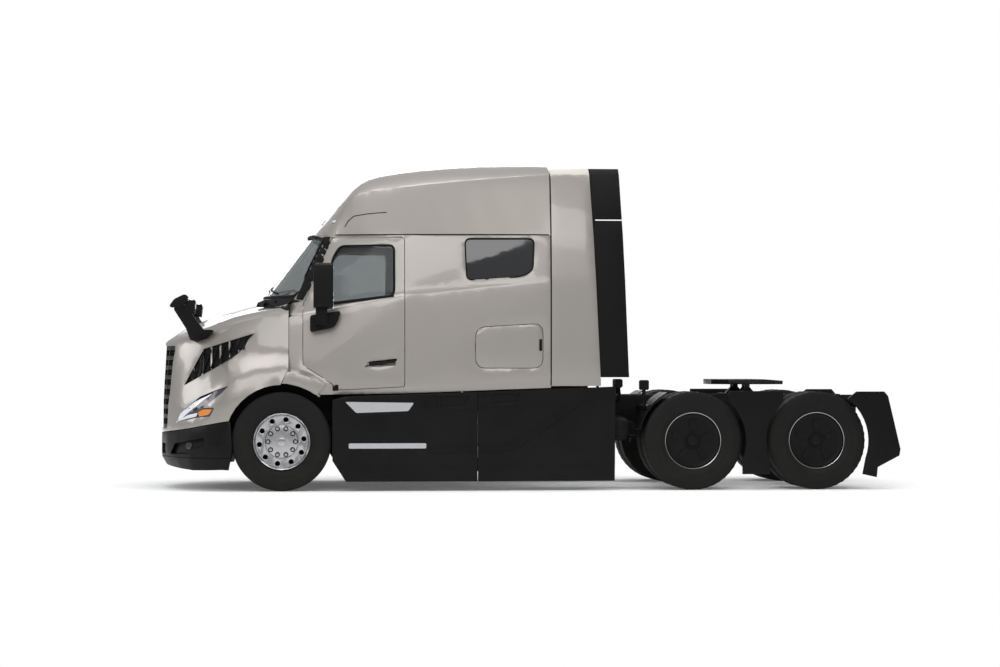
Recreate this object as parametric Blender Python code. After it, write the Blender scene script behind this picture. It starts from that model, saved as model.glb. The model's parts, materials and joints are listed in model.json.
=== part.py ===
"""Conventional tractor unit with a raised-roof sleeper cab, modelled as an assembly of jointed pieces.

Lengths are in metres. While the pieces are made, x is the distance behind the front axle, y is the
distance to the right of the centre line and z is the height above the ground. One empty then carries
the whole vehicle so that the middle of its length lies on the origin.
"""
import math

import bmesh
import bpy
from mathutils import Matrix

# Driving dimensions of the vehicle
FRONT_REACH = 1.298
REAR_REACH = 6.531
WHEELBASE = 4.976
TANDEM_SPACING = 1.321
TYRE_RADIUS = 0.517
TYRE_WIDTH = 0.280
STEER_TRACK_HALF = 1.030
DRIVE_OUTER_HALF = 1.080
DRIVE_INNER_HALF = 0.740
SIDE_HALF_WIDTH = 1.200
RAIL_TOP = 0.990
RAIL_HEIGHT = 0.270
RAIL_HALF_SPREAD = 0.430
SEAM_HEIGHT = 2.675
ROOF_HEIGHT = 3.485
CAB_REAR = 2.810
ARCH_RADIUS = 0.592

# Clearances
SEAT_GAP = 0.0003
PANEL_GAP = 0.006
RUN_GAP = 0.0005
OVERRUN = 0.200
WELD = 0.00015
FLAT_DEG = 0.05

# Places that several pieces share
FRONT_AXLE_X = 0.0
DRIVE_AXLE_XS = (WHEELBASE - TANDEM_SPACING / 2, WHEELBASE + TANDEM_SPACING / 2)
AXLE_Z = TYRE_RADIUS
FRAME_ORIGIN_X = (FRONT_REACH - REAR_REACH) / 2
KINGPIN_Y = 0.880
WHEEL_FACETS = 24
ARCH_FACETS = 40
PIN_FACETS = 16
ROD_FACETS = 12
HOLE_FACETS = 10
EDGE_SHARE = 0.476

MATERIALS = {
    # name: red, green, blue, roughness, metallic
    "body_paint": (0.56, 0.54, 0.51, 0.35, 0.3),
    "black_plastic": (0.015, 0.015, 0.015, 0.55, 0.0),
    "chassis_black": (0.02, 0.02, 0.02, 0.6, 0.2),
    "aluminium": (0.72, 0.73, 0.74, 0.25, 1.0),
    "tyre_rubber": (0.02, 0.02, 0.02, 0.85, 0.0),
    "soft_rubber": (0.018, 0.018, 0.018, 0.8, 0.0),
    "clear_glass": (0.35, 0.38, 0.38, 0.05, 0.0),
    "dark_glass": (0.02, 0.02, 0.025, 0.08, 0.0),
    "lamp_lens": (0.85, 0.86, 0.88, 0.15, 0.0),
    "interior_trim": (0.12, 0.11, 0.11, 0.8, 0.0),
    "cast_iron": (0.09, 0.09, 0.09, 0.6, 0.6),
    "greased_steel": (0.10, 0.10, 0.10, 0.4, 0.8),
}


# Helpers that make and combine solids

def clear_scene():
    for old in list(bpy.data.objects):
        bpy.data.objects.remove(old, do_unlink=True)


def solid(bm, name="blank"):
    """An object from a bmesh whose faces are turned outwards."""
    bmesh.ops.remove_doubles(bm, verts=bm.verts, dist=1e-6)
    bmesh.ops.recalc_face_normals(bm, faces=bm.faces)
    mesh = bpy.data.meshes.new(name)
    bm.to_mesh(mesh)
    bm.free()
    piece = bpy.data.objects.new(name, mesh)
    bpy.context.scene.collection.objects.link(piece)
    return piece


def loft(rings):
    """A solid through closed rings with equal point counts, capped at both ends."""
    bm = bmesh.new()
    loops = [[bm.verts.new(point) for point in ring] for ring in rings]
    for low, high in zip(loops, loops[1:]):
        for i in range(len(low)):
            j = (i + 1) % len(low)
            bm.faces.new((low[i], low[j], high[j], high[i]))
    bm.faces.new(loops[0])
    bm.faces.new(loops[-1])
    return solid(bm)


def place(plane, a, b, depth):
    """A point from two coordinates of a drawing plane and the depth across it."""
    if plane == "xz":
        return (a, depth, b)
    if plane == "xy":
        return (a, b, depth)
    return (depth, a, b)


def prism(outline, low, high, plane="xz"):
    """An outline pushed straight across its plane from low to high."""
    return loft([[place(plane, a, b, depth) for a, b in outline] for depth in (low, high)])


def box(x_span, y_span, z_span):
    (x0, x1), (y0, y1), (z0, z1) = x_span, y_span, z_span
    return prism(((x0, z0), (x1, z0), (x1, z1), (x0, z1)), y0, y1)


def circle(radius, centre=(0.0, 0.0), facets=WHEEL_FACETS):
    points = []
    for i in range(facets):
        angle = 2 * math.pi * i / facets
        points.append((centre[0] + radius * math.cos(angle), centre[1] + radius * math.sin(angle)))
    return points


def arc(radius, centre, start_deg, end_deg, steps):
    points = []
    for i in range(steps + 1):
        angle = math.radians(start_deg + (end_deg - start_deg) * i / steps)
        points.append((centre[0] + radius * math.cos(angle), centre[1] + radius * math.sin(angle)))
    return points


def rounded(outline, radius, steps=3):
    """The outline with each corner replaced by an arc that meets both its sides."""
    points = []
    count = len(outline)
    for i in range(count):
        x, z = outline[i]
        before = outline[i - 1]
        after = outline[(i + 1) % count]
        to_before = math.hypot(before[0] - x, before[1] - z)
        to_after = math.hypot(after[0] - x, after[1] - z)
        cut = min(radius, to_before * EDGE_SHARE, to_after * EDGE_SHARE)
        start = (x + (before[0] - x) * cut / to_before, z + (before[1] - z) * cut / to_before)
        end = (x + (after[0] - x) * cut / to_after, z + (after[1] - z) * cut / to_after)
        for k in range(steps + 1):
            t = k / steps
            a = (1 - t) ** 2
            b = 2 * t * (1 - t)
            c = t ** 2
            points.append((a * start[0] + b * x + c * end[0], a * start[1] + b * z + c * end[1]))
    return points


def turned(profile, x, z, facets=WHEEL_FACETS):
    """A solid turned about a cross-wise axis from (radius, y) points; radius 0 closes at a pole."""
    bm = bmesh.new()
    rings = []
    for radius, y in profile:
        if radius == 0:
            rings.append([bm.verts.new((x, y, z))] * facets)
        else:
            rings.append([bm.verts.new((a, y, b)) for a, b in circle(radius, (x, z), facets)])
    closed = profile[0][0] != 0
    pairs = list(zip(rings, rings[1:]))
    if closed:
        pairs.append((rings[-1], rings[0]))
    for near, far in pairs:
        for i in range(facets):
            j = (i + 1) % facets
            corners = []
            for vert in (near[i], near[j], far[j], far[i]):
                if vert not in corners:
                    corners.append(vert)
            if len(corners) > 2:
                bm.faces.new(corners)
    return solid(bm)


def half_loft(grid):
    """A body that is the same on both sides, from rows of points on its right half.

    The first point of each row lies on the centre line. The first row, the last row and the last
    points of all rows are closed by flat strips to their mirror images.
    """
    bm = bmesh.new()
    right = [[bm.verts.new(point) for point in row] for row in grid]
    left = [[bm.verts.new((x, -y, z)) for x, y, z in row] for row in grid]
    for side in (right, left):
        for near, far in zip(side, side[1:]):
            for j in range(len(near) - 1):
                for corners in ((near[j], near[j + 1], far[j + 1]), (near[j], far[j + 1], far[j])):
                    if any(vert.co.y for vert in corners):
                        bm.faces.new(corners)
    for row in (0, -1):
        for j in range(len(right[row]) - 1):
            if right[row][j].co.y or right[row][j + 1].co.y:
                bm.faces.new((right[row][j], right[row][j + 1], left[row][j + 1], left[row][j]))
    for near, far in zip(range(len(grid) - 1), range(1, len(grid))):
        bm.faces.new((right[near][-1], right[far][-1], left[far][-1], left[near][-1]))
    bmesh.ops.remove_doubles(bm, verts=bm.verts, dist=1e-5)
    bmesh.ops.dissolve_degenerate(bm, edges=bm.edges, dist=1e-6)
    return solid(bm)


def eased(rows, steps):
    """Extra rows between the given ones, on smooth curves through like points of all rows."""
    out = []
    last = len(rows) - 1
    for i in range(last):
        before = rows[max(i - 1, 0)]
        after = rows[min(i + 2, last)]
        for k in range(steps):
            t = k / steps
            row = []
            for p0, p1, p2, p3 in zip(before, rows[i], rows[i + 1], after):
                row.append(tuple(
                    0.5 * (2 * b + (c - a) * t + (2 * a - 5 * b + 4 * c - d) * t ** 2
                           + (3 * b - a - 3 * c + d) * t ** 3)
                    for a, b, c, d in zip(p0, p1, p2, p3)))
            out.append(row)
    out.append(rows[-1])
    return out


def flipped(grid):
    """Rows become columns."""
    return [list(column) for column in zip(*grid)]


def combine(piece, others, operation):
    for other in others:
        cut = piece.modifiers.new(operation.lower(), "BOOLEAN")
        cut.operation = operation
        cut.solver = "EXACT"
        cut.object = other
    state = bpy.context.evaluated_depsgraph_get()
    mesh = bpy.data.meshes.new_from_object(piece.evaluated_get(state))
    piece.modifiers.clear()
    piece.data = mesh
    for other in others:
        bpy.data.objects.remove(other, do_unlink=True)
    return piece


def less(piece, *others):
    return combine(piece, others, "DIFFERENCE")


def plus(piece, *others):
    return combine(piece, others, "UNION")


def common(piece, *others):
    return combine(piece, others, "INTERSECT")


def copied(piece):
    twin = bpy.data.objects.new(piece.name, piece.data.copy())
    bpy.context.scene.collection.objects.link(twin)
    return twin


def mirrored(piece):
    """A copy on the other side of the centre line, with its faces turned out again."""
    twin = copied(piece)
    twin.data.transform(Matrix.Scale(-1, 4, (0, 1, 0)))
    twin.data.flip_normals()
    return twin


def empty(name, place_at, parent=None):
    mark = bpy.data.objects.new(name, None)
    mark.location = place_at
    mark.parent = parent
    bpy.context.scene.collection.objects.link(mark)
    return mark


def paint(name):
    found = bpy.data.materials.get(name)
    if found:
        return found
    red, green, blue, roughness, metallic = MATERIALS[name]
    made = bpy.data.materials.new(name)
    made.use_nodes = True
    shader = made.node_tree.nodes["Principled BSDF"]
    shader.inputs["Base Color"].default_value = (red, green, blue, 1)
    shader.inputs["Roughness"].default_value = roughness
    shader.inputs["Metallic"].default_value = metallic
    return made


def finish(piece, name, finish_name, carrier, smooth_deg=35):
    """Names a piece, gives it its finish and hangs it on the empty at its joint or on the vehicle."""
    bm = bmesh.new()
    bm.from_mesh(piece.data)
    bmesh.ops.remove_doubles(bm, verts=bm.verts, dist=WELD)
    bmesh.ops.dissolve_degenerate(bm, edges=bm.edges, dist=WELD)
    bmesh.ops.dissolve_limit(bm, angle_limit=math.radians(FLAT_DEG), verts=bm.verts, edges=bm.edges)
    bmesh.ops.triangulate(bm, faces=[face for face in bm.faces if len(face.verts) > 4])
    bm.to_mesh(piece.data)
    bm.free()
    piece.name = name
    piece.data.name = name
    piece.data.materials.clear()
    piece.data.materials.append(paint(finish_name))
    for face in piece.data.polygons:
        face.material_index = 0
        face.use_smooth = True
    piece.data.set_sharp_from_angle(angle=math.radians(smooth_deg))
    piece.data.transform(Matrix.Translation([-value for value in carrier["at"]]))
    piece.parent = carrier
    return piece


def axis_empty(name, at):
    """An empty on a joint's axis, carried by the vehicle."""
    mark = empty(name, at, VEHICLE)
    mark["at"] = at
    return mark


clear_scene()
VEHICLE = empty("vehicle", (FRAME_ORIGIN_X, 0, 0))
VEHICLE["at"] = (0.0, 0.0, 0.0)
SIDES = (("left", -1), ("right", 1))


def both_sides(right_piece, name, finish_name, carriers=None, smooth_deg=35):
    """Finishes a right-hand piece and its mirror image on the left."""
    left_piece = mirrored(right_piece)
    for piece, (side, _) in ((left_piece, SIDES[0]), (right_piece, SIDES[1])):
        carrier = carriers[side] if carriers else VEHICLE
        finish(piece, f"{name}_{side}", finish_name, carrier, smooth_deg)


# Cab body: rails run from the centre of the front round to the rear corner.
# Columns: z at the front centre, z at the front corner, z at the door's rear edge, z at the back,
# x at the front centre, x at the front corner, y at the corner, y at the door's rear edge, y at the
# back, and how far the inner face lies above the outer one.
CAB_WALL = 0.070
FIREWALL_X = 0.075
DOOR_REAR_X = 1.281
SHELF_Z = 1.840
CAB_FLOOR_Z = 1.000
SEAM_FRONT_Z = 2.730
SEAM_FRONT_X = 0.319
SEAM_CORNER_X = 0.500
CAB_RAILS = (
    (CAB_FLOOR_Z, CAB_FLOOR_Z, 1.017, 1.075, FIREWALL_X, FIREWALL_X, 1.060, 1.155, 1.185, CAB_WALL),
    (1.085, 1.085, 1.100, 1.200, FIREWALL_X, FIREWALL_X, 1.075, 1.175, SIDE_HALF_WIDTH, CAB_WALL),
    (SHELF_Z - 0.030, 1.810, 2.035, 2.185, FIREWALL_X, FIREWALL_X, 1.005, 1.165, 1.210, CAB_WALL),
    (SHELF_Z, SHELF_Z, 2.065, 2.215, -0.190, 0.110, 0.990, 1.150, 1.205, 0.060),
    (2.020, 1.985, 2.100, 2.250, -0.205, 0.185, 0.960, 1.140, 1.203, 0.040),
    (2.800, 2.760, 2.760, 2.760, 0.365, 0.545, 0.850, 1.075, 1.175, 0.0),
)
FRONT_CURVE_POWER = 2.2
FRONT_CURVE_STEPS = 6


def cab_row(rail, wall):
    """One rail; a wall above zero gives the inner face of that wall."""
    z_front, z_corner, z_mid, z_back, x_front, x_corner, y_corner, y_mid, y_back, lift = rail
    if wall:
        rise = lift * wall / CAB_WALL
        z_front, z_corner, z_mid, z_back = (z + rise for z in (z_front, z_corner, z_mid, z_back))
    x_front, x_corner = x_front + wall, x_corner + wall
    y_corner, y_mid, y_back = y_corner - wall, y_mid - wall, y_back - wall
    row = []
    for i in range(FRONT_CURVE_STEPS + 1):
        t = i / FRONT_CURVE_STEPS
        bow = t ** FRONT_CURVE_POWER
        row.append((x_front + (x_corner - x_front) * bow, y_corner * t,
                    z_front + (z_corner - z_front) * t * t))
    row.append((DOOR_REAR_X, y_mid, z_mid))
    row.append((CAB_REAR - wall, y_back, z_back))
    return row


def cab_solid(wall=0.0, rise=0.0):
    rows = [cab_row(rail, wall) for rail in CAB_RAILS]
    if rise:
        rows.append([(x, y, z + rise) for x, y, z in rows[-1]])
    return half_loft(rows)


# Roof cap: stations run from the front seam to the back. Columns: x and z on the centre line,
# then x, y and z of the side crease, then x and y where the side meets the seam.
ROOF_WALL = 0.050
ROOF_SKIRT_Z = SEAM_HEIGHT - 0.060
ROOF_STATIONS = (
    (0.300, 2.700, 0.455, 0.800, 2.665, 0.485, 0.860),
    (0.515, 2.971, 0.600, 0.800, 2.890, 0.560, 0.885),
    (0.678, 3.169, 0.700, 0.810, 3.040, 0.660, 0.920),
    (0.863, 3.301, 0.810, 0.840, 3.125, 0.790, 0.965),
    (1.038, 3.362, 1.020, 0.885, 3.160, 1.010, 1.030),
    (1.497, 3.431, 1.497, 0.955, 3.215, 1.497, 1.105),
    (2.100, 3.472, 2.100, 1.025, 3.270, 2.100, 1.150),
    (CAB_REAR, ROOF_HEIGHT, CAB_REAR, 1.065, 3.322, CAB_REAR, 1.180),
)
ROOF_CROWN_SHARES = (0.0, 0.3, 0.55, 0.75, 0.9, 1.0)
ROOF_CROWN_POWER = 3.0


def roof_solid(wall=0.0, drop=0.0):
    grid = []
    for x_top, z_top, x_crease, y_crease, z_crease, x_seam, y_seam in ROOF_STATIONS:
        rear = wall if x_top == CAB_REAR else -wall
        x_top, x_crease, x_seam = x_top - rear, x_crease - rear, x_seam - rear
        z_top, z_crease = z_top - wall, z_crease - wall
        y_crease, y_seam = y_crease - wall, y_seam - wall
        row = []
        for share in ROOF_CROWN_SHARES:
            fall = share ** ROOF_CROWN_POWER
            row.append((x_top + (x_crease - x_top) * share ** 2, y_crease * share,
                        z_top + (z_crease - z_top) * fall))
        row.append((x_seam, y_seam, min(SEAM_HEIGHT, z_crease)))
        row.append((x_seam, y_seam, ROOF_SKIRT_Z - drop))
        grid.append(row)
    return half_loft(eased(grid, 2))


# Clearance lamps on the brow of the roof: places across, size and depth of their shallow pockets
BROW_LAMP_YS = (-0.740, -0.370, 0.0, 0.370, 0.740)
BROW_LAMP_HALF = 0.055
BROW_LAMP_X = (0.300, 0.700)
BROW_LAMP_Z = (2.812, 2.856)
BROW_LAMP_DEPTH = 0.010


def brow_pockets():
    """Five shallow pockets that follow the roof's face."""
    spots = [box(BROW_LAMP_X, (y - BROW_LAMP_HALF, y + BROW_LAMP_HALF), BROW_LAMP_Z) for y in BROW_LAMP_YS]
    return less(plus(spots[0], *spots[1:]), roof_solid(BROW_LAMP_DEPTH))


def seam_region(shift, above):
    """Everything above or below the seam between cab and roof."""
    line = ((-FRONT_REACH, SEAM_FRONT_Z), (SEAM_FRONT_X, SEAM_FRONT_Z), (SEAM_CORNER_X, SEAM_HEIGHT),
            (CAB_REAR + OVERRUN, SEAM_HEIGHT))
    limit = ROOF_HEIGHT + OVERRUN if above else 0.0
    outline = [(x, z + shift) for x, z in line] + [(line[-1][0], limit), (line[0][0], limit)]
    return prism(outline, -SIDE_HALF_WIDTH - OVERRUN, SIDE_HALF_WIDTH + OVERRUN)


def wheel_arch(radius=ARCH_RADIUS, y_span=(-SIDE_HALF_WIDTH - OVERRUN, SIDE_HALF_WIDTH + OVERRUN)):
    return prism(circle(radius, (FRONT_AXLE_X, AXLE_Z), ARCH_FACETS), *y_span)


# Openings of the cab, drawn from the side (x, z)
DOOR_OUTLINE = ((0.215, 1.310), (0.487, 1.138), (0.600, 1.048), (DOOR_REAR_X, 1.085), (DOOR_REAR_X, 2.655),
                (0.520, 2.655), (0.215, 1.950))
DOOR_WINDOW = ((0.510, 1.962), (0.520, 2.395), (0.548, 2.470), (0.610, 2.566), (1.170, 2.570),
               (1.170, 2.044))
SLEEPER_WINDOW = ((1.927, 2.202), (2.500, 2.240), (2.620, 2.300), (2.636, 2.640), (1.911, 2.640))
LUGGAGE_OUTLINE = ((2.015, 1.278), (2.729, 1.278), (2.729, 1.754), (2.015, 1.711))
# The windscreen opening, seen from the front (y, z)
SCREEN_OUTLINE = ((-0.880, 2.035), (0.880, 2.035), (0.800, 2.640), (0.450, 2.690), (-0.450, 2.690),
                  (-0.800, 2.640))
CORNER_RADIUS = 0.060
LUGGAGE_RADIUS = 0.110
DOOR_RADIUS = 0.030
DOOR_THICKNESS = CAB_WALL
GLASS_THICKNESS = 0.006
GLASS_DEPTH = 0.020
SIDE_CUT_START = 0.780
SILL_EDGE = (1.030, 1.115)


def shrunk(outline, gap):
    """The outline moved inwards by a gap on every side."""
    count = len(outline)
    area = sum(outline[i - 1][0] * outline[i][1] - outline[i][0] * outline[i - 1][1] for i in range(count))
    turn = 1 if area > 0 else -1
    moved = []
    for i in range(count):
        (xa, za), (xb, zb), (xc, zc) = outline[i - 1], outline[i], outline[(i + 1) % count]
        la, lc = math.hypot(xb - xa, zb - za), math.hypot(xc - xb, zc - zb)
        na = (-(zb - za) / la * turn, (xb - xa) / la * turn)
        nc = (-(zc - zb) / lc * turn, (xc - xb) / lc * turn)
        scale = gap / (1 + na[0] * nc[0] + na[1] * nc[1])
        moved.append((xb + (na[0] + nc[0]) * scale, zb + (na[1] + nc[1]) * scale))
    return moved


def side_cut(outline, gap=0.0):
    """The space behind an outline on the right-hand side, from inside the cab outwards."""
    region = prism(shrunk(outline, gap), SIDE_CUT_START, SIDE_HALF_WIDTH + OVERRUN)
    sill_y, sill_z = SILL_EDGE
    return less(region, box((0.0, CAB_REAR), (0.0, sill_y + gap), (0.0, sill_z + gap)))


DOOR_SHAPE = rounded(DOOR_OUTLINE, DOOR_RADIUS)
DOOR_WINDOW_SHAPE = rounded(DOOR_WINDOW, CORNER_RADIUS)
SLEEPER_WINDOW_SHAPE = rounded(SLEEPER_WINDOW, CORNER_RADIUS)
LUGGAGE_SHAPE = rounded(LUGGAGE_OUTLINE, LUGGAGE_RADIUS, 5)
SCREEN_SHAPE = rounded(SCREEN_OUTLINE, CORNER_RADIUS)


def cab_skin(outer, inner):
    """A layer of the cab's wall between two depths from the outer face."""
    return less(cab_solid(outer), cab_solid(inner, OVERRUN))


# Half width of the sleeper's back and floor piece, between the two side pieces
BACK_PANEL_HALF = 1.000
# The cab's share of the front wheel arch: the flare's section as radius and y, the thin lining
# behind it, and the angles about the axle that they cover
FLARE_SECTION = ((0.605, 0.960), (0.605, 1.163), (0.640, 1.168), (0.727, 1.158), (0.772, 1.092),
                 (0.772, 1.030))
LINING_RADII = (0.604, 0.622)
LINING_Y = (0.620, 1.110)
FLARE_ARC = (53, 97)
LINING_ARC = (50, 96)
FLARE_STEPS = 9


def arch_flare():
    """The right-hand flare and lining of the wheel arch, behind the hood's slanted seam."""
    low, high = FLARE_ARC
    rings = []
    for i in range(FLARE_STEPS + 1):
        angle = math.radians(low + (high - low) * i / FLARE_STEPS)
        rings.append([(radius * math.cos(angle), y, AXLE_Z + radius * math.sin(angle)) for radius,
                      y in FLARE_SECTION])
    inner, outer = LINING_RADII
    lining = arc(outer, (FRONT_AXLE_X, AXLE_Z), *LINING_ARC, FLARE_STEPS)
    lining += arc(inner, (FRONT_AXLE_X, AXLE_Z), *reversed(LINING_ARC), FLARE_STEPS)
    ahead = prism(((-FRONT_REACH, 0.0), (HOOD_LOW_REAR[0] + PANEL_GAP, 0.0),
                   (HOOD_LOW_REAR[0] + PANEL_GAP, HOOD_LOW_REAR[1]),
                   (HOOD_SIDE_REAR_X + PANEL_GAP, HOOD_SEAM_LOW_Z),
                   (HOOD_SIDE_REAR_X + PANEL_GAP, ROOF_HEIGHT),
                   (-FRONT_REACH, ROOF_HEIGHT)), 0.0, SIDE_HALF_WIDTH + OVERRUN)
    door = prism(shrunk(DOOR_SHAPE, -PANEL_GAP / 2), 0.0, SIDE_HALF_WIDTH + OVERRUN)
    return less(plus(loft(rings), prism(lining, *LINING_Y)), ahead, door)


def make_cab():
    wall = common(cab_skin(0.0, CAB_WALL), seam_region(-SEAT_GAP, above=False))
    shell = less(wall, wheel_arch(ARCH_RADIUS + PANEL_GAP))
    cuts = []
    for outline in (DOOR_SHAPE, SLEEPER_WINDOW_SHAPE, LUGGAGE_SHAPE):
        cuts.append(side_cut(outline))
        cuts.append(mirrored(cuts[-1]))
    screen = prism(SCREEN_SHAPE, -FRONT_REACH, SEAM_CORNER_X + CAB_WALL, "yz")
    shell = less(shell, *cuts, screen)
    leaves = []
    for edge_x, heights in ((DOOR_OUTLINE[0][0], HINGE_LEAF_ZS), (LUGGAGE_OUTLINE[0][0], LUGGAGE_LEAF_ZS)):
        for z in heights:
            slot = box((edge_x - PANEL_GAP, edge_x + PANEL_GAP - SEAT_GAP),
                       (SIDE_CUT_START, SIDE_HALF_WIDTH),
                       (z - HINGE_LEAF_HEIGHT / 2, z + HINGE_LEAF_HEIGHT / 2))
            leaf = common(cab_skin(GLASS_DEPTH, CAB_WALL - GLASS_DEPTH / 2), slot)
            leaves += [leaf, mirrored(leaf)]
    shell = plus(shell, *leaves)
    seam = DOOR_REAR_X + SEAT_GAP / 2
    half, top = SIDE_HALF_WIDTH + OVERRUN, SEAM_FRONT_Z + OVERRUN
    rear = (seam, CAB_REAR + OVERRUN)
    side = common(copied(shell), box(rear, (BACK_PANEL_HALF + SEAT_GAP, half), (0.0, top)))
    both_sides(side, "sleeper_side", "body_paint", None, 25)
    back = common(copied(shell), box(rear, (-BACK_PANEL_HALF, BACK_PANEL_HALF), (0.0, top)))
    finish(back, "sleeper_back", "body_paint", VEHICLE, 25)
    shell = common(shell, box((-FRONT_REACH, seam - SEAT_GAP), (-half, half), (0.0, top)))
    flare = arch_flare()
    finish(plus(shell, flare, mirrored(flare)), "cab_shell", "body_paint", VEHICLE, 25)


def make_roof():
    shell = less(roof_solid(), roof_solid(ROOF_WALL, OVERRUN))
    shell = less(common(shell, seam_region(SEAT_GAP, above=True)), brow_pockets())
    finish(shell, "roof_fairing", "body_paint", VEHICLE, 25)


def make_glass():
    layer = cab_skin(GLASS_DEPTH, GLASS_DEPTH + GLASS_THICKNESS)
    sleeper = common(copied(layer), side_cut(SLEEPER_WINDOW_SHAPE, SEAT_GAP))
    both_sides(sleeper, "sleeper_window", "dark_glass")
    side = common(copied(layer), side_cut(DOOR_WINDOW_SHAPE, SEAT_GAP))
    both_sides(side, "door_window", "clear_glass", DOOR_HINGES)
    screen = prism(shrunk(SCREEN_SHAPE, SEAT_GAP), -FRONT_REACH, SEAM_CORNER_X + CAB_WALL / 2, "yz")
    finish(common(layer, screen), "windshield", "clear_glass", VEHICLE, 25)


DOOR_HINGE_X = DOOR_OUTLINE[0][0] + PANEL_GAP
DOOR_HINGE_Y = 1.092
LUGGAGE_HINGE_X = LUGGAGE_OUTLINE[0][0] + PANEL_GAP
LUGGAGE_HINGE_Y = 1.204
HINGE_LEAF_ZS = (1.450, 1.800)
LUGGAGE_LEAF_ZS = (1.400, 1.600)
HINGE_LEAF_HEIGHT = 0.090
DOOR_HINGES = {side: axis_empty(f"door_hinge_{side}", (DOOR_HINGE_X, sign * DOOR_HINGE_Y, 0.0))
               for side, sign in SIDES}
LUGGAGE_HINGES = {side: axis_empty(f"luggage_hinge_{side}", (LUGGAGE_HINGE_X, sign * LUGGAGE_HINGE_Y, 0.0))
                  for side, sign in SIDES}

# The door handle is a pocket in the outer skin with a bar left standing across it
HANDLE_POCKET = ((0.858, 1.287), (1.182, 1.308), (1.200, 1.381), (0.914, 1.352))
HANDLE_BAR = ((0.820, 1.312), (1.240, 1.334), (1.240, 1.358), (0.820, 1.334))
HANDLE_DEPTH = 0.034
HANDLE_BAR_DEPTH = 0.014

# Bracket and head of the door mirror
MIRROR_X = (0.326, 0.530)
MIRROR_Z = (1.905, 2.369)
MIRROR_Y = (1.215, 1.465)
MIRROR_ARM_OUTLINE = ((0.293, 1.655), (0.540, 1.703), (0.582, 1.771), (0.612, 1.880), (0.480, 1.862),
                      (0.291, 1.832))
MIRROR_STEM_X = (0.350, 0.470)
MIRROR_RADIUS = 0.090
MIRROR_ARM_Y = 1.180


def make_doors():
    panel = common(cab_skin(0.0, DOOR_THICKNESS), side_cut(DOOR_SHAPE, PANEL_GAP))
    pocket = less(side_cut(HANDLE_POCKET), cab_solid(HANDLE_DEPTH))
    bar = less(side_cut(HANDLE_BAR), cab_solid(HANDLE_BAR_DEPTH))
    panel = less(panel, side_cut(DOOR_WINDOW_SHAPE), less(pocket, bar))
    both_sides(panel, "door", "body_paint", DOOR_HINGES, 25)
    hatch = common(cab_skin(0.0, DOOR_THICKNESS), side_cut(LUGGAGE_SHAPE, PANEL_GAP))
    both_sides(hatch, "luggage_door", "body_paint", LUGGAGE_HINGES, 25)


def make_door_mirrors():
    arm = prism(rounded(MIRROR_ARM_OUTLINE, CORNER_RADIUS / 2), SIDE_HALF_WIDTH / 2, MIRROR_ARM_Y)
    arm = less(arm, cab_solid(-SEAT_GAP))
    low, high = MIRROR_Z
    y_high = MIRROR_Y[1] - 2 * CORNER_RADIUS
    z_low = MIRROR_ARM_OUTLINE[1][1] + CORNER_RADIUS / 2
    neck = box(MIRROR_STEM_X, (MIRROR_ARM_Y - CORNER_RADIUS, y_high),
               (z_low, MIRROR_ARM_OUTLINE[5][1] - CORNER_RADIUS / 4))
    stem = box(MIRROR_STEM_X, (MIRROR_Y[0] + CORNER_RADIUS / 2, y_high), (z_low, low + CORNER_RADIUS))
    head = prism(rounded(((MIRROR_Y[0], low), (MIRROR_Y[1], low), (MIRROR_Y[1], high), (MIRROR_Y[0], high)),
                         CORNER_RADIUS), *MIRROR_X, "yz")
    side = prism(rounded(((MIRROR_X[0], low - CORNER_RADIUS), (MIRROR_X[1], low - CORNER_RADIUS),
                          (MIRROR_X[1], high), (MIRROR_X[0], high)), MIRROR_RADIUS / 2),
                 MIRROR_Y[0] - CORNER_RADIUS, MIRROR_Y[1] + CORNER_RADIUS)
    head = common(head, side)
    both_sides(plus(arm, neck, stem, head), "door_mirror", "black_plastic", DOOR_HINGES)


# Cowl: the black panel between the hood's rear edge and the windscreen. Columns: share of the half
# width, x and z of its front edge, x and z of its rear edge.
COWL_HALF = 0.930
HOOD_REAR_X = 0.048
HOOD_SIDE_REAR_X = FIREWALL_X - PANEL_GAP
HOOD_REAR_CENTRE_X = -0.222
HOOD_LOW_REAR = (-0.039, 1.055)
HOOD_SEAM_LOW_Z = 1.283
COWL_FRONT_Z = (1.950, 1.880)
COWL_REAR_Z = (1.995, 1.965)
COWL_BASE_Z = SHELF_Z + PANEL_GAP
COWL_STEPS = 10


def hood_edge_x(y):
    share = min(abs(y) / COWL_HALF, 1.0)
    return HOOD_REAR_CENTRE_X + (HOOD_REAR_X - HOOD_REAR_CENTRE_X) * share ** FRONT_CURVE_POWER


def make_cowl():
    rings = []
    for i in range(-COWL_STEPS, COWL_STEPS + 1):
        y = COWL_HALF * i / COWL_STEPS
        share = (i / COWL_STEPS) ** 2
        front = hood_edge_x(y) + PANEL_GAP
        rear = FIREWALL_X
        z_front = COWL_FRONT_Z[0] + (COWL_FRONT_Z[1] - COWL_FRONT_Z[0]) * share
        z_rear = COWL_REAR_Z[0] + (COWL_REAR_Z[1] - COWL_REAR_Z[0]) * share
        rings.append([(front, y, COWL_BASE_Z), (front, y, z_front), (rear, y, z_rear),
                      (rear, y, COWL_BASE_Z)])
    finish(less(loft(rings), cab_solid(-SEAT_GAP)), "cowl", "black_plastic", VEHICLE)


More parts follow.
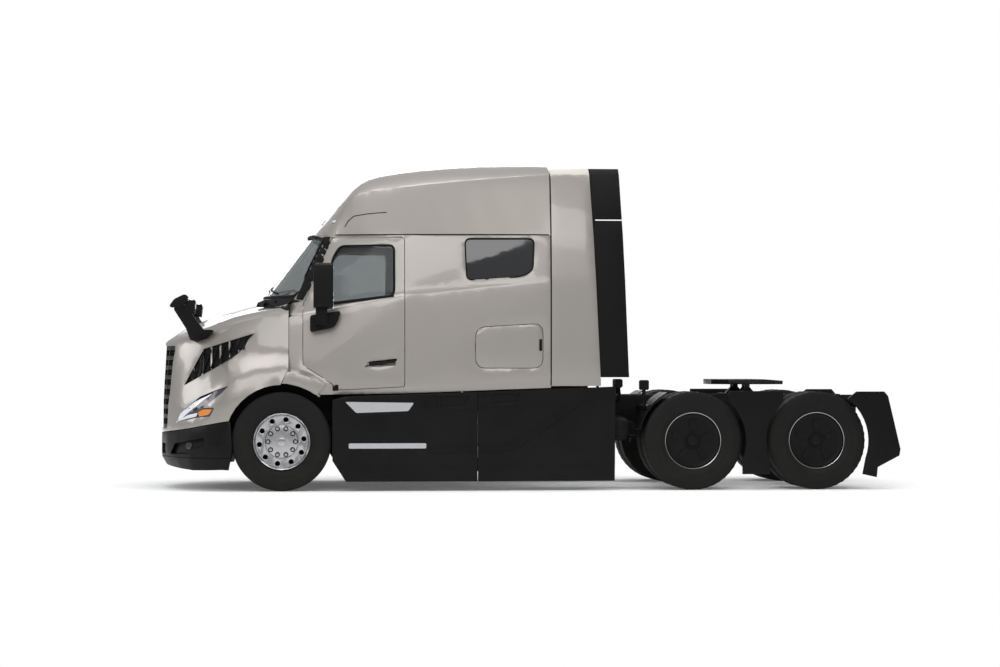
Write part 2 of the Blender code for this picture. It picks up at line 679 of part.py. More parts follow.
# Hood: columns run from the centre of the nose round to the rear, rows from the lower edge to the
# crown. Each column gives (x, y, z) in turn for: lower edge, lamp, fender top, side wall, side edge,
# crown edge, centre line.
HOOD_WALL = 0.050
HOOD_COLUMNS = (
    ((-1.293, 0.0, 0.599), (-1.290, 0.0, 0.930), (-1.280, 0.0, 1.150), (-1.268, 0.0, 1.350),
     (-1.256, 0.0, 1.552), (-1.235, 0.0, 1.575), (-1.214, 0.0, 1.585)),
    ((-1.210, 0.480, 0.612), (-1.195, 0.475, 0.900), (-1.175, 0.465, 1.060), (-1.150, 0.460, 1.340),
     (-1.116, 0.450, 1.548), (-1.090, 0.420, 1.590), (-1.060, 0.0, 1.690)),
    ((-0.960, 0.900, 0.655), (-0.940, 0.905, 0.860), (-0.890, 0.870, 0.980), (-0.870, 0.745, 1.330),
     (-0.830, 0.690, 1.615), (-0.810, 0.600, 1.695), (-0.800, 0.0, 1.808)),
    ((-0.620, 1.130, 0.722), (-0.600, 1.145, 0.950), (-0.570, 1.100, 1.170), (-0.560, 0.890, 1.380),
     (-0.530, 0.810, 1.735), (-0.520, 0.700, 1.812), (-0.500, 0.0, 1.893)),
    ((-0.280, 1.165, 0.760), (-0.270, 1.180, 0.960), (-0.260, 1.135, 1.260), (-0.250, 0.960, 1.430),
     (-0.230, 0.885, 1.815), (-0.230, 0.770, 1.878), (-0.230, 0.0, 1.964)),
    ((0.150, 1.165, 0.800), (0.150, 1.180, 0.980), (0.150, 1.140, 1.290), (0.150, 1.030, 1.450),
     (0.150, 0.965, 1.900), (0.150, 0.860, 1.945), (0.150, 0.0, 2.010)),
)
GRILLE_HALF = 0.430
GRILLE_Z = (0.640, 1.520)
GRILLE_SLOTS = 8
GRILLE_RIM = 0.045
GRILLE_BAR_SHARE = 0.42
GRILLE_RIB_YS = (-0.200, 0.0, 0.200)
GRILLE_RIB_WIDTH = 0.024
HOOD_HINGE = (-1.290, 0.620)


def hood_solid(shrink=0.0, drop=0.0):
    columns = [list(column) for column in HOOD_COLUMNS]
    length, half, height = (FRONT_REACH, SIDE_HALF_WIDTH, HOOD_COLUMNS[-1][-1][2] - HOOD_COLUMNS[0][0][2])
    base = HOOD_COLUMNS[0][0][2]
    scaled = []
    for column in columns:
        points = [(x * (1 - shrink / length), y * (1 - shrink / half),
                   base + (z - base) * (1 - shrink / height))
                  for x, y, z in column]
        if drop:
            points.insert(0, (points[0][0], points[0][1], points[0][2] - drop))
        scaled.append(points)
    if drop:
        scaled.append([(x + drop, y, z) for x, y, z in scaled[-1]])
    grid = flipped(eased(scaled, 2))
    return half_loft(grid)


def hood_wall(gap=0.0):
    return less(hood_solid(), hood_solid(HOOD_WALL + gap, OVERRUN))


def hood_keep():
    """The space that the hood may fill: ahead of the cowl's curve and of the slanted lower seam."""
    plan = [(-FRONT_REACH - OVERRUN, -SIDE_HALF_WIDTH - OVERRUN)]
    for i in range(-COWL_STEPS, COWL_STEPS + 1):
        y = COWL_HALF * i / COWL_STEPS
        plan.append((hood_edge_x(y), y))
    plan.insert(1, (HOOD_SIDE_REAR_X, -SIDE_HALF_WIDTH - OVERRUN))
    plan.insert(2, (HOOD_SIDE_REAR_X, -COWL_HALF - PANEL_GAP))
    plan.append((HOOD_SIDE_REAR_X, COWL_HALF + PANEL_GAP))
    plan.append((HOOD_SIDE_REAR_X, SIDE_HALF_WIDTH + OVERRUN))
    plan.append((-FRONT_REACH - OVERRUN, SIDE_HALF_WIDTH + OVERRUN))
    keep = prism(plan, 0.0, ROOF_HEIGHT, "xy")
    slope = prism(((HOOD_REAR_X + OVERRUN, 0.0), (HOOD_REAR_X + OVERRUN, HOOD_SEAM_LOW_Z),
                   (HOOD_SIDE_REAR_X, HOOD_SEAM_LOW_Z), HOOD_LOW_REAR, (HOOD_LOW_REAR[0], 0.0)),
                  -SIDE_HALF_WIDTH - OVERRUN, SIDE_HALF_WIDTH + OVERRUN)
    return less(keep, slope)


# Side vent of the hood: a pocket with upright ribs left in it, drawn from the side (x, z)
VENT_OUTLINE = ((-1.032, 1.097), (-0.523, 1.377), (-0.403, 1.477), (-0.350, 1.578), (-0.277, 1.651),
                (-0.523, 1.577), (-0.821, 1.484))
VENT_START_Y = 0.500
VENT_DEPTH = 0.034
VENT_RIB_WIDTH = 0.016
VENT_RIB_STEP = 0.095
VENT_RIB_DEPTH = 0.010


def vent_pocket():
    front, rear = VENT_OUTLINE[0][0], VENT_OUTLINE[4][0]
    ribs = []
    for i in range(1, int((rear - front) / VENT_RIB_STEP)):
        x = front + i * VENT_RIB_STEP
        ribs.append(box((x, x + VENT_RIB_WIDTH), (VENT_START_Y, SIDE_HALF_WIDTH),
                        (VENT_OUTLINE[0][1], ROOF_HEIGHT)))
    ribs = common(plus(ribs[0], *ribs[1:]), hood_solid(VENT_RIB_DEPTH))
    pocket = prism(VENT_OUTLINE, VENT_START_Y, SIDE_HALF_WIDTH + OVERRUN)
    return less(pocket, hood_solid(VENT_DEPTH), ribs)


def make_hood():
    shell = common(hood_wall(), hood_keep())
    shell = less(shell, wheel_arch())
    opening = prism(rounded(((-GRILLE_HALF, GRILLE_Z[0]), (GRILLE_HALF, GRILLE_Z[0]),
                             (GRILLE_HALF, GRILLE_Z[1]), (-GRILLE_HALF, GRILLE_Z[1])), CORNER_RADIUS),
                    -FRONT_REACH - OVERRUN, -FRONT_REACH / 2, "yz")
    lamp = lamp_region()
    vent = vent_pocket()
    cuts = (opening, lamp, mirrored(lamp), vent, mirrored(vent))
    finish(less(shell, *cuts), "hood_shell", "body_paint", HOOD_PIVOT, 25)


# Headlamp outline from the side (x, z)
LAMP_OUTLINE = ((-1.108, 0.712), (-1.010, 0.858), (-0.851, 0.985), (-0.706, 1.044), (-0.547, 1.100),
                (-0.627, 1.018), (-0.745, 0.925), (-0.818, 0.865), (-0.699, 0.871), (-0.745, 0.778),
                (-0.877, 0.765))
LAMP_RADIUS = 0.010
LAMP_Y = 0.600


def lamp_region(gap=0.0):
    return prism(shrunk(rounded(LAMP_OUTLINE, LAMP_RADIUS, 1), gap), LAMP_Y, SIDE_HALF_WIDTH + OVERRUN)


def make_lamps_and_grille():
    body = less(hood_solid(HOOD_WALL / 5), hood_solid(HOOD_WALL, OVERRUN))
    lamp = common(copied(body), lamp_region(SEAT_GAP))
    both_sides(lamp, "headlamp", "lamp_lens", {side: HOOD_PIVOT for side, _ in SIDES})
    grille = common(body, prism(shrunk(rounded(((-GRILLE_HALF, GRILLE_Z[0]), (GRILLE_HALF, GRILLE_Z[0]),
                                                (GRILLE_HALF, GRILLE_Z[1]), (-GRILLE_HALF, GRILLE_Z[1])),
                                               CORNER_RADIUS), SEAT_GAP),
                                -FRONT_REACH - OVERRUN, -FRONT_REACH / 2, "yz"))
    finish(less(grille, *grille_slots()), "grille", "black_plastic", HOOD_PIVOT)


def grille_slots():
    """Cutters for the slots between the level bars of the grille."""
    low, high = GRILLE_Z[0] + GRILLE_RIM, GRILLE_Z[1] - GRILLE_RIM
    pitch = (high - low + (high - low) / GRILLE_SLOTS * GRILLE_BAR_SHARE) / GRILLE_SLOTS
    edges = [GRILLE_RIM - GRILLE_HALF - GRILLE_RIB_WIDTH / 2, *GRILLE_RIB_YS,
             GRILLE_HALF - GRILLE_RIM + GRILLE_RIB_WIDTH / 2]
    slots = []
    for i in range(GRILLE_SLOTS):
        z = low + i * pitch
        for left, right in zip(edges, edges[1:]):
            slots.append(box((-FRONT_REACH - OVERRUN, -FRONT_REACH / 2),
                             (left + GRILLE_RIB_WIDTH / 2, right - GRILLE_RIB_WIDTH / 2),
                             (z, z + pitch * (1 - GRILLE_BAR_SHARE))))
    return slots


HOOD_PIVOT = axis_empty("hood_pivot", (HOOD_HINGE[0], 0.0, HOOD_HINGE[1]))

# Hood mirror: a head drawn from the side (x, z), a smaller housing behind it and a broad arm down
# to the side of the hood, each with its span across (y)
HOOD_MIRROR_HEAD = ((-1.166, 1.937), (-1.120, 2.003), (-1.014, 2.054), (-0.977, 2.037), (-0.987, 1.977),
                    (-1.047, 1.917), (-1.159, 1.917))
HOOD_MIRROR_HOUSING = ((-1.000, 1.985), (-0.895, 1.997), (-0.908, 1.844), (-1.010, 1.885))
HOOD_MIRROR_ARM = ((-1.125, 1.930), (-1.125, 1.892), (-1.005, 1.698), (-0.965, 1.578), (-0.898, 1.558),
                   (-0.792, 1.592), (-0.712, 1.672), (-0.739, 1.685), (-0.819, 1.685), (-0.925, 1.826),
                   (-0.970, 1.940))
HOOD_MIRROR_HEAD_Y = (0.800, 1.020)
HOOD_MIRROR_HOUSING_Y = (0.830, 0.990)
HOOD_MIRROR_ARM_Y = (0.640, 0.900)
HOOD_MIRROR_ARM_WIDTH = 0.060
HOOD_MIRROR_RADIUS = 0.020


def make_hood_mirrors():
    head = prism(rounded(HOOD_MIRROR_HEAD, HOOD_MIRROR_RADIUS), *HOOD_MIRROR_HEAD_Y)
    housing = prism(rounded(HOOD_MIRROR_HOUSING, HOOD_MIRROR_RADIUS), *HOOD_MIRROR_HOUSING_Y)
    foot_y, top_y = HOOD_MIRROR_ARM_Y
    low = min(z for _, z in HOOD_MIRROR_ARM)
    high = max(z for _, z in HOOD_MIRROR_ARM)
    rings = [[], []]
    for x, z in HOOD_MIRROR_ARM:
        y = foot_y + (top_y - foot_y) * math.sqrt((z - low) / (high - low))
        rings[0].append((x, y - HOOD_MIRROR_ARM_WIDTH / 2, z))
        rings[1].append((x, y + HOOD_MIRROR_ARM_WIDTH / 2, z))
    arm = less(loft(rings), hood_solid(-SEAT_GAP))
    both_sides(plus(head, housing, arm), "hood_mirror", "black_plastic",
               {side: HOOD_PIVOT for side, _ in SIDES})


# Side extenders behind the cab: z, x at the rear edge of the panel, y of the outer face,
# and x at the rear edge of the rubber
EXTENDER_THICKNESS = 0.035
RUBBER_THICKNESS = 0.012
EXTENDER_LEVELS = (
    (1.094, 3.338, 1.187, 3.640),
    (1.241, 3.332, SIDE_HALF_WIDTH, 3.635),
    (2.200, 3.285, 1.209, 3.595),
    (SEAM_HEIGHT, 3.262, 1.181, 3.575),
    (3.000, 3.245, 1.130, 3.560),
    (3.320, 3.230, 1.068, 3.548),
    (3.390, 3.225, 1.020, 3.545),
)
EXTENDER_TOP_Z = 3.375
RUBBER_BASE_Z = 1.185
RUBBER_SPLIT_Z = 2.840


def make_extenders():
    rings = []
    rubber = []
    for z, x_edge, y, x_rubber in EXTENDER_LEVELS:
        inner = y - EXTENDER_THICKNESS
        start = CAB_REAR + SEAT_GAP
        rings.append([(start, inner, min(z, EXTENDER_TOP_Z)), (x_edge, inner, z), (x_edge, y, z),
                      (start, y, min(z, EXTENDER_TOP_Z))])
        mid = y - EXTENDER_THICKNESS / 2
        low, high = mid - RUBBER_THICKNESS / 2, mid + RUBBER_THICKNESS / 2
        rubber_z = max(z, RUBBER_BASE_Z)
        rubber.append([(x_edge + SEAT_GAP, low, rubber_z), (x_rubber, low, rubber_z),
                       (x_rubber, high, rubber_z), (x_edge + SEAT_GAP, high, rubber_z)])
    both_sides(loft(rings), "side_extender", "body_paint")
    edge = loft(rubber)
    groove = box((EXTENDER_LEVELS[2][1], EXTENDER_LEVELS[0][3]), (SIDE_HALF_WIDTH / 2, SIDE_HALF_WIDTH),
                 (RUBBER_SPLIT_Z - PANEL_GAP, RUBBER_SPLIT_Z + PANEL_GAP))
    both_sides(less(edge, groove), "extender_rubber", "soft_rubber")


# Chassis: two channel rails with cross members, and the brackets that carry what hangs on them
RAIL_FLANGE = 0.090
RAIL_WEB = 0.012
RAIL_NOSE = 0.218
RAIL_TAIL = 0.291
RAIL_SPAN = (RAIL_NOSE - FRONT_REACH, REAR_REACH - RAIL_TAIL)
CROSS_WIDTH = 0.100
GEARBOX_CROSS_X = 1.350
CROSS_XS = (RAIL_SPAN[0] + CROSS_WIDTH / 2, GEARBOX_CROSS_X, CAB_REAR + CROSS_WIDTH * 2, WHEELBASE,
            RAIL_SPAN[1] - CROSS_WIDTH / 2)
CROSS_DROP = 0.050
CROSS_HEIGHT = 0.100
CAB_MOUNT_XS = (0.800, 2.650)
HINGE_ARM_Z = (0.630, 0.700)
HINGE_ARM_X = (-1.190, -0.980)
HINGE_ARM_Y = (0.436, 0.500)
BUMPER_BRACKET_X = -1.200
SPRING_Y = 0.385
SPRING_HALF_WIDTH = 0.040
SPRING_SPAN = 0.680
SPRING_EYE_Z = 0.660
SPRING_LOW_Z = 0.560
SPRING_LEAF = 0.045
SPRING_STEPS = 8
BUMPER_BRACKET_Z = (0.430, 0.560)
TAIL_LAMP_Y = (0.190, 0.400)
TAIL_LAMP_Z = (0.590, 0.710)
TAIL_LAMP_X = 0.060
# The radiator stands on the rails' front ends and is one body with them
RADIATOR_X = (-1.060, -0.980)
RADIATOR_HALF = 0.420
RADIATOR_TOP = 1.500


def channel():
    """A rail's section on the right side: the web outside and the flanges towards the middle."""
    outer = RAIL_HALF_SPREAD
    inner = outer - RAIL_FLANGE
    base = RAIL_TOP - RAIL_HEIGHT
    return ((outer, base), (outer, RAIL_TOP), (inner, RAIL_TOP), (inner, RAIL_TOP - RAIL_WEB),
            (outer - RAIL_WEB, RAIL_TOP - RAIL_WEB), (outer - RAIL_WEB, base + RAIL_WEB),
            (inner, base + RAIL_WEB), (inner, base))


def make_frame():
    rail = prism(channel(), *RAIL_SPAN, "yz")
    parts = [mirrored(rail)]
    for x in CROSS_XS:
        parts.append(box((x - CROSS_WIDTH / 2, x + CROSS_WIDTH / 2),
                         (-RAIL_HALF_SPREAD + RAIL_WEB / 2, RAIL_HALF_SPREAD - RAIL_WEB / 2),
                         (RAIL_TOP - CROSS_DROP - CROSS_HEIGHT, RAIL_TOP - CROSS_DROP)))
    for sign in (-1, 1):
        y0, y1 = sorted((sign * (SPRING_Y - SPRING_HALF_WIDTH), sign * (RAIL_HALF_SPREAD)))
        for x in (-SPRING_SPAN, SPRING_SPAN):
            parts.append(box((x - CROSS_WIDTH / 2, x + CROSS_WIDTH / 2), (y0, y1),
                             (SPRING_EYE_Z + SPRING_LEAF / 2 + SEAT_GAP,
                              RAIL_TOP - RAIL_HEIGHT + RAIL_WEB / 2)))
        parts.append(box((RAIL_SPAN[0] - CROSS_WIDTH / 2, RAIL_SPAN[0] + CROSS_WIDTH), (y0, y1),
                         (BUMPER_BRACKET_Z[0], RAIL_TOP - CROSS_DROP)))
        parts.append(box((BUMPER_BRACKET_X, RAIL_SPAN[0] + CROSS_WIDTH), (y0, y1), BUMPER_BRACKET_Z))
        arm_y = sorted((sign * HINGE_ARM_Y[0], sign * HINGE_ARM_Y[1]))
        parts.append(box(HINGE_ARM_X, arm_y, HINGE_ARM_Z))
        web_y = sorted((sign * (RAIL_HALF_SPREAD - RAIL_WEB / 2), sign * (HINGE_ARM_Y[1] - RAIL_WEB)))
        parts.append(box((HINGE_ARM_X[1] - CROSS_WIDTH, HINGE_ARM_X[1] - RAIL_WEB), web_y,
                         (HINGE_ARM_Z[0] + RAIL_WEB, RAIL_TOP - CROSS_DROP - RAIL_WEB)))
        lamp_y = sorted((sign * TAIL_LAMP_Y[0], sign * TAIL_LAMP_Y[1]))
        tail = RAIL_SPAN[1] - RAIL_WEB
        parts.append(box((tail - TAIL_LAMP_X, tail), lamp_y, TAIL_LAMP_Z))
        post_y = sorted((sign * (TAIL_LAMP_Y[1] - RAIL_WEB * 2), sign * (TAIL_LAMP_Y[1] - RAIL_WEB)))
        parts.append(box((tail - TAIL_LAMP_X / 2, tail - RAIL_WEB), post_y,
                         (TAIL_LAMP_Z[0] + RAIL_WEB, RAIL_TOP - RAIL_HEIGHT + RAIL_WEB / 2)))
        for x in CAB_MOUNT_XS:
            parts.append(box((x - CROSS_WIDTH / 2, x + CROSS_WIDTH / 2), (y0, y1),
                             (RAIL_TOP - RAIL_WEB / 2, RAIL_TOP + CROSS_WIDTH)))
    parts.append(box(RADIATOR_X, (-RADIATOR_HALF, RADIATOR_HALF), (RAIL_TOP - RAIL_WEB / 2, RADIATOR_TOP)))
    frame = plus(rail, *parts)
    seats = (cab_solid(-SEAT_GAP), bumper_wall(SEAT_GAP * 2), hood_wall(SEAT_GAP * 2))
    finish(less(frame, *seats), "ladder_frame", "chassis_black", VEHICLE)


# Front bumper: columns from the centre to the side give (x, y, z) for the lower lip, the knee,
# the face and the upper edge.
BUMPER_WALL = 0.060
STEER_SWEEP = 0.600
BUMPER_COLUMNS = (
    ((-1.247, 0.0, 0.247), (-1.297, 0.0, 0.335), (-FRONT_REACH, 0.0, 0.420), (-1.297, 0.0, 0.590)),
    ((-1.160, 0.480, 0.238), (-1.205, 0.500, 0.335), (-1.215, 0.500, 0.430), (-1.212, 0.480, 0.603)),
    ((-0.925, 0.890, 0.212), (-0.962, 0.930, 0.335), (-0.975, 0.930, 0.450), (-0.962, 0.900, 0.646)),
    ((-0.620, 1.090, 0.222), (-0.650, 1.140, 0.335), (-0.655, 1.150, 0.470), (-0.640, 1.120, 0.712)),
    ((-0.505, 1.130, 0.214), (-0.508, 1.175, 0.335), (-0.512, 1.185, 0.480), (-0.516, 1.160, 0.725)),
)
# Pockets of the bumper: the fog lamp's, from the side (x, z), and the air intake's half width and z
FOG_OUTLINE = ((-1.177, 0.376), (-1.125, 0.488), (-0.816, 0.554), (-0.789, 0.461), (-0.941, 0.435),
               (-0.980, 0.382))
FOG_START_Y = 0.450
INTAKE_YS = (0.050, 0.380)
INTAKE_Z = (0.372, 0.480)
POCKET_DEPTH = 0.030
LIP_GROOVE_Z = (0.341, 0.349)
LIP_GROOVE_DEPTH = 0.008


def bumper_solid(shrink=0.0):
    columns = []
    for column in BUMPER_COLUMNS:
        columns.append([(x + shrink, max(y - shrink, 0.0), z) for x, y, z in column])
    if shrink:
        columns = [[(column[0][0], column[0][1], column[0][2] - shrink)] + column
                   + [(column[-1][0], column[-1][1], column[-1][2] + shrink)] for column in columns]
        columns.append([(x + shrink, y, z) for x, y, z in columns[-1]])
    return half_loft(flipped(eased(columns, 2)))


def bumper_wall(gap=0.0):
    return less(bumper_solid(), bumper_solid(BUMPER_WALL + gap))


def steer_sweep(sign):
    round_plan = circle(STEER_SWEEP, (FRONT_AXLE_X, sign * KINGPIN_Y), ARCH_FACETS)
    return prism(round_plan, 0.0, AXLE_Z + STEER_SWEEP, "xy")


def bumper_pockets():
    """Cutters for the fog lamps' pockets, the air intake and the line above the lower lip."""
    fog = less(prism(FOG_OUTLINE, FOG_START_Y, SIDE_HALF_WIDTH + OVERRUN), bumper_solid(POCKET_DEPTH))
    intake = less(box((-FRONT_REACH - OVERRUN, -FRONT_REACH / 2), INTAKE_YS, INTAKE_Z),
                  bumper_solid(POCKET_DEPTH))
    line = less(box((-FRONT_REACH - OVERRUN, 0.0), (-SIDE_HALF_WIDTH, SIDE_HALF_WIDTH), LIP_GROOVE_Z),
                bumper_solid(LIP_GROOVE_DEPTH))
    return fog, mirrored(fog), intake, mirrored(intake), line


def make_bumper():
    shell = less(bumper_wall(), steer_sweep(1), steer_sweep(-1), *bumper_pockets())
    finish(shell, "bumper", "black_plastic", VEHICLE, 30)


# Front axle beam with its leaf springs
BEAM_Z = (0.400, 0.480)
BEAM_HALF_DEPTH = 0.055
BEAM_END_Y = KINGPIN_Y
EYE_RADIUS = 0.055
EYE_Z = (0.455, 0.585)
PIN_RADIUS = 0.022


def make_front_axle():
    low, high = BEAM_Z
    neck = BEAM_END_Y - EYE_RADIUS * 2
    neck_low = EYE_Z[0] + EYE_RADIUS / 5
    half = ((RAIL_HALF_SPREAD, low), (neck, neck_low), (BEAM_END_Y, neck_low),
            (BEAM_END_Y, EYE_Z[1] - SPRING_LEAF),
            (neck, EYE_Z[1] - SPRING_LEAF), (RAIL_HALF_SPREAD + BEAM_HALF_DEPTH, high))
    beam = prism(half + tuple((-y, z) for y, z in reversed(half)), -BEAM_HALF_DEPTH, BEAM_HALF_DEPTH, "yz")
    parts = []
    holes = []
    for sign in (-1, 1):
        parts.append(prism(circle(EYE_RADIUS, (0.0, sign * BEAM_END_Y), PIN_FACETS), *EYE_Z, "xy"))
        holes.append(prism(circle(PIN_RADIUS + RUN_GAP, (0.0, sign * BEAM_END_Y), PIN_FACETS), 0.0,
                           AXLE_Z * 2, "xy"))
        steps = SPRING_STEPS
        upper = []
        lower = []
        for i in range(-steps, steps + 1):
            x = SPRING_SPAN * i / steps
            z = SPRING_LOW_Z + (SPRING_EYE_Z - SPRING_LOW_Z) * (i / steps) ** 2
            thick = SPRING_LEAF * (2 - abs(i / steps))
            upper.append((x, z + SPRING_LEAF / 2))
            lower.append((x, z + SPRING_LEAF / 2 - thick))
        outline = upper + lower[::-1]
        y0, y1 = sorted((sign * (SPRING_Y - SPRING_HALF_WIDTH), sign * (SPRING_Y + SPRING_HALF_WIDTH)))
        parts.append(prism(outline, y0, y1))
        parts.append(box((-BEAM_HALF_DEPTH, BEAM_HALF_DEPTH), (y0, y1),
                         (high - SPRING_LEAF / 2, SPRING_LOW_Z)))
    finish(less(plus(beam, *parts), *holes), "front_axle", "chassis_black", VEHICLE)


# Steering knuckles: two lugs above and below the beam's eye, a web outside it, the spindle, the
# brake drum and the arm to the tie rod
LUG_HEIGHT = 0.050
KNUCKLE_WEB_Y = (0.945, 0.985)
SPINDLE_RADIUS = 0.035
SPINDLE_END_Y = 1.105
DRUM_RADIUS = 0.200
DRUM_Y = (0.955, 1.012)
STEER_ARM_X = 0.210
STEER_ARM_Y = KINGPIN_Y
STEER_ARM_Z = (0.395, 0.425)
TIE_BALL_RADIUS = 0.030
TIE_ROD_RADIUS = 0.022
TIE_ROD_Z = 0.470

KINGPINS = {side: axis_empty(f"kingpin_{side}", (0.0, sign * KINGPIN_Y, 0.0)) for side, sign in SIDES}


def make_knuckles():
    top = prism(circle(EYE_RADIUS, (0.0, KINGPIN_Y), PIN_FACETS), EYE_Z[1] + RUN_GAP,
                EYE_Z[1] + LUG_HEIGHT, "xy")
    low = prism(circle(EYE_RADIUS, (0.0, KINGPIN_Y), PIN_FACETS), EYE_Z[0] - LUG_HEIGHT,
                EYE_Z[0] - RUN_GAP, "xy")
    middle = sum(KNUCKLE_WEB_Y) / 2
    pin = prism(circle(PIN_RADIUS, (0.0, KINGPIN_Y), PIN_FACETS), EYE_Z[0] - LUG_HEIGHT / 2,
                EYE_Z[1] + LUG_HEIGHT / 2, "xy")
    top_arm = box((-EYE_RADIUS / 2, EYE_RADIUS / 2), (KINGPIN_Y, middle),
                  (EYE_Z[1] + RUN_GAP, EYE_Z[1] + LUG_HEIGHT))
    low_arm = box((-EYE_RADIUS / 2, EYE_RADIUS / 2), (KINGPIN_Y, middle),
                  (EYE_Z[0] - LUG_HEIGHT, EYE_Z[0] - RUN_GAP))
    web = box((-EYE_RADIUS, EYE_RADIUS), KNUCKLE_WEB_Y,
              (EYE_Z[0] - LUG_HEIGHT - PANEL_GAP, EYE_Z[1] + LUG_HEIGHT + PANEL_GAP))
    drum = turned(((0.0, DRUM_Y[0]), (DRUM_RADIUS, DRUM_Y[0]), (DRUM_RADIUS, DRUM_Y[1]), (0.0, DRUM_Y[1])),
                  0.0, AXLE_Z)
    spindle = turned(((0.0, middle), (SPINDLE_RADIUS, middle),
                      (SPINDLE_RADIUS, SPINDLE_END_Y), (0.0, SPINDLE_END_Y)), 0.0, AXLE_Z, PIN_FACETS)
    arm = prism(((-EYE_RADIUS / 2, middle), (EYE_RADIUS / 2, middle),
                 (STEER_ARM_X + TIE_BALL_RADIUS, STEER_ARM_Y + TIE_BALL_RADIUS),
                 (STEER_ARM_X + TIE_BALL_RADIUS, STEER_ARM_Y - TIE_BALL_RADIUS),
                 (STEER_ARM_X - TIE_BALL_RADIUS, STEER_ARM_Y - TIE_BALL_RADIUS)), *STEER_ARM_Z, "xy")
    both_sides(plus(web, top_arm, low_arm, top, low, pin, drum, spindle, arm), "knuckle", "cast_iron",
               KINGPINS)


TIE_PIVOT = axis_empty("tie_rod_pivot", (STEER_ARM_X, -STEER_ARM_Y, 0.0))


def make_tie_rod():
    ends = []
    for sign in (-1, 1):
        ends.append(prism(circle(TIE_BALL_RADIUS, (STEER_ARM_X, sign * STEER_ARM_Y), ROD_FACETS),
                          STEER_ARM_Z[1] + RUN_GAP, TIE_ROD_Z + TIE_ROD_RADIUS, "xy"))
    rod = turned(((0.0, -STEER_ARM_Y), (TIE_ROD_RADIUS, -STEER_ARM_Y), (TIE_ROD_RADIUS, STEER_ARM_Y),
                  (0.0, STEER_ARM_Y)), STEER_ARM_X, TIE_ROD_Z, ROD_FACETS)
    finish(plus(rod, *ends), "tie_rod", "chassis_black", TIE_PIVOT)


# Tyre section: radius and distance from the tyre's middle
RIM_SEAT = 0.2915
TYRE_SHOULDER = 0.022
TREAD_HALF = 0.112
TYRE_BULGE_SHARE = 0.75


def tyre_section(middle, rim_half):
    half = TYRE_WIDTH / 2
    return ((RIM_SEAT + RUN_GAP, middle - rim_half), (RIM_SEAT + half * TYRE_BULGE_SHARE, middle - half),
            (TYRE_RADIUS - TYRE_SHOULDER, middle - half + TYRE_SHOULDER / 2),
            (TYRE_RADIUS, middle - TREAD_HALF),
            (TYRE_RADIUS, middle + TREAD_HALF),
            (TYRE_RADIUS - TYRE_SHOULDER, middle + half - TYRE_SHOULDER / 2),
            (RIM_SEAT + half * TYRE_BULGE_SHARE, middle + half), (RIM_SEAT + RUN_GAP, middle + rim_half))


# Steer rim: a polished disc with hand holes round a raised hub
RIM_HALF = 0.105
RIM_LIP = 0.303
RIM_FLANGE = 0.020
RIM_WELL_RADIUS = 0.272
HUB_FACE_Y = 1.150
DISC_FACE_Y = 1.128
DISC_BACK_Y = 1.098
HUB_RADIUS = 0.168
HUB_BACK_Y = 1.016
HUB_BACK_RADIUS = 0.100
CAP_RADIUS = 0.042
CAP_FACE_Y = 1.162
HAND_HOLES = 10
HAND_HOLE_TURN = 0.2
HAND_HOLE_RING = 0.232
HAND_HOLE_RADIUS = 0.028


def make_steer_wheels():
    spins = {side: axis_empty(f"steer_hub_{side}", (0.0, sign * STEER_TRACK_HALF, AXLE_Z)) for side,
             sign in SIDES}
    for side in spins:
        spins[side].parent = KINGPINS[side]
        kingpin_at = KINGPINS[side]["at"]
        spins[side].location = [a - b for a, b in zip(spins[side]["at"], kingpin_at)]
    tyre = turned(tyre_section(STEER_TRACK_HALF, RIM_HALF), 0.0, AXLE_Z)
    both_sides(tyre, "steer_tyre", "tyre_rubber", spins, 40)
    middle = STEER_TRACK_HALF
    lip = RIM_FLANGE
    well = RIM_WELL_RADIUS
    profile = (
        (0.0, CAP_FACE_Y), (CAP_RADIUS, CAP_FACE_Y), (CAP_RADIUS, HUB_FACE_Y), (HUB_RADIUS, HUB_FACE_Y),
        (HUB_RADIUS + lip / 2, DISC_FACE_Y), (well, DISC_FACE_Y),
        (RIM_LIP - lip / 2, middle + RIM_HALF + lip),
        (RIM_LIP, middle + RIM_HALF + lip / 2), (RIM_SEAT, middle + RIM_HALF),
        (RIM_SEAT, middle - RIM_HALF),
        (RIM_LIP, middle - RIM_HALF - lip), (well, middle - RIM_HALF), (well, DISC_BACK_Y),
        (HUB_RADIUS, DISC_BACK_Y), (HUB_BACK_RADIUS, HUB_BACK_Y), (SPINDLE_RADIUS + RUN_GAP, HUB_BACK_Y),
        (SPINDLE_RADIUS + RUN_GAP, SPINDLE_END_Y + RUN_GAP), (0.0, SPINDLE_END_Y + RUN_GAP))
    rim = turned(profile, 0.0, AXLE_Z)
    holes = []
    for i in range(HAND_HOLES):
        angle = 2 * math.pi * (i + HAND_HOLE_TURN) / HAND_HOLES
        centre = (HAND_HOLE_RING * math.cos(angle), AXLE_Z + HAND_HOLE_RING * math.sin(angle))
        holes.append(prism(circle(HAND_HOLE_RADIUS, centre, HOLE_FACETS), HUB_BACK_Y, SIDE_HALF_WIDTH))
    both_sides(less(rim, *holes), "steer_rim", "aluminium", spins, 40)


# Drive wheels: twin tyres on their rims with a black cover outside. Values are distances from the
# centre line of the vehicle.
COVER_FACE_Y = 1.190
COVER_HUB_RADIUS = 0.110
COVER_LOW_Y = 1.165
DRIVE_BORE_RADIUS = 0.050
AXLE_TUBE_RADIUS = 0.070
DRIVE_DRUM_Y = (0.560, 0.850)
DRIVE_STUB_Y = 0.960
DRIVE_HUB_Y = 0.870


# Raised pads of the cover: how many, their radii, half widths at those radii and height
COVER_PADS = 5
PAD_RADII = (0.135, 0.215)
PAD_HALVES = (0.020, 0.030)
PAD_RISE = 0.012


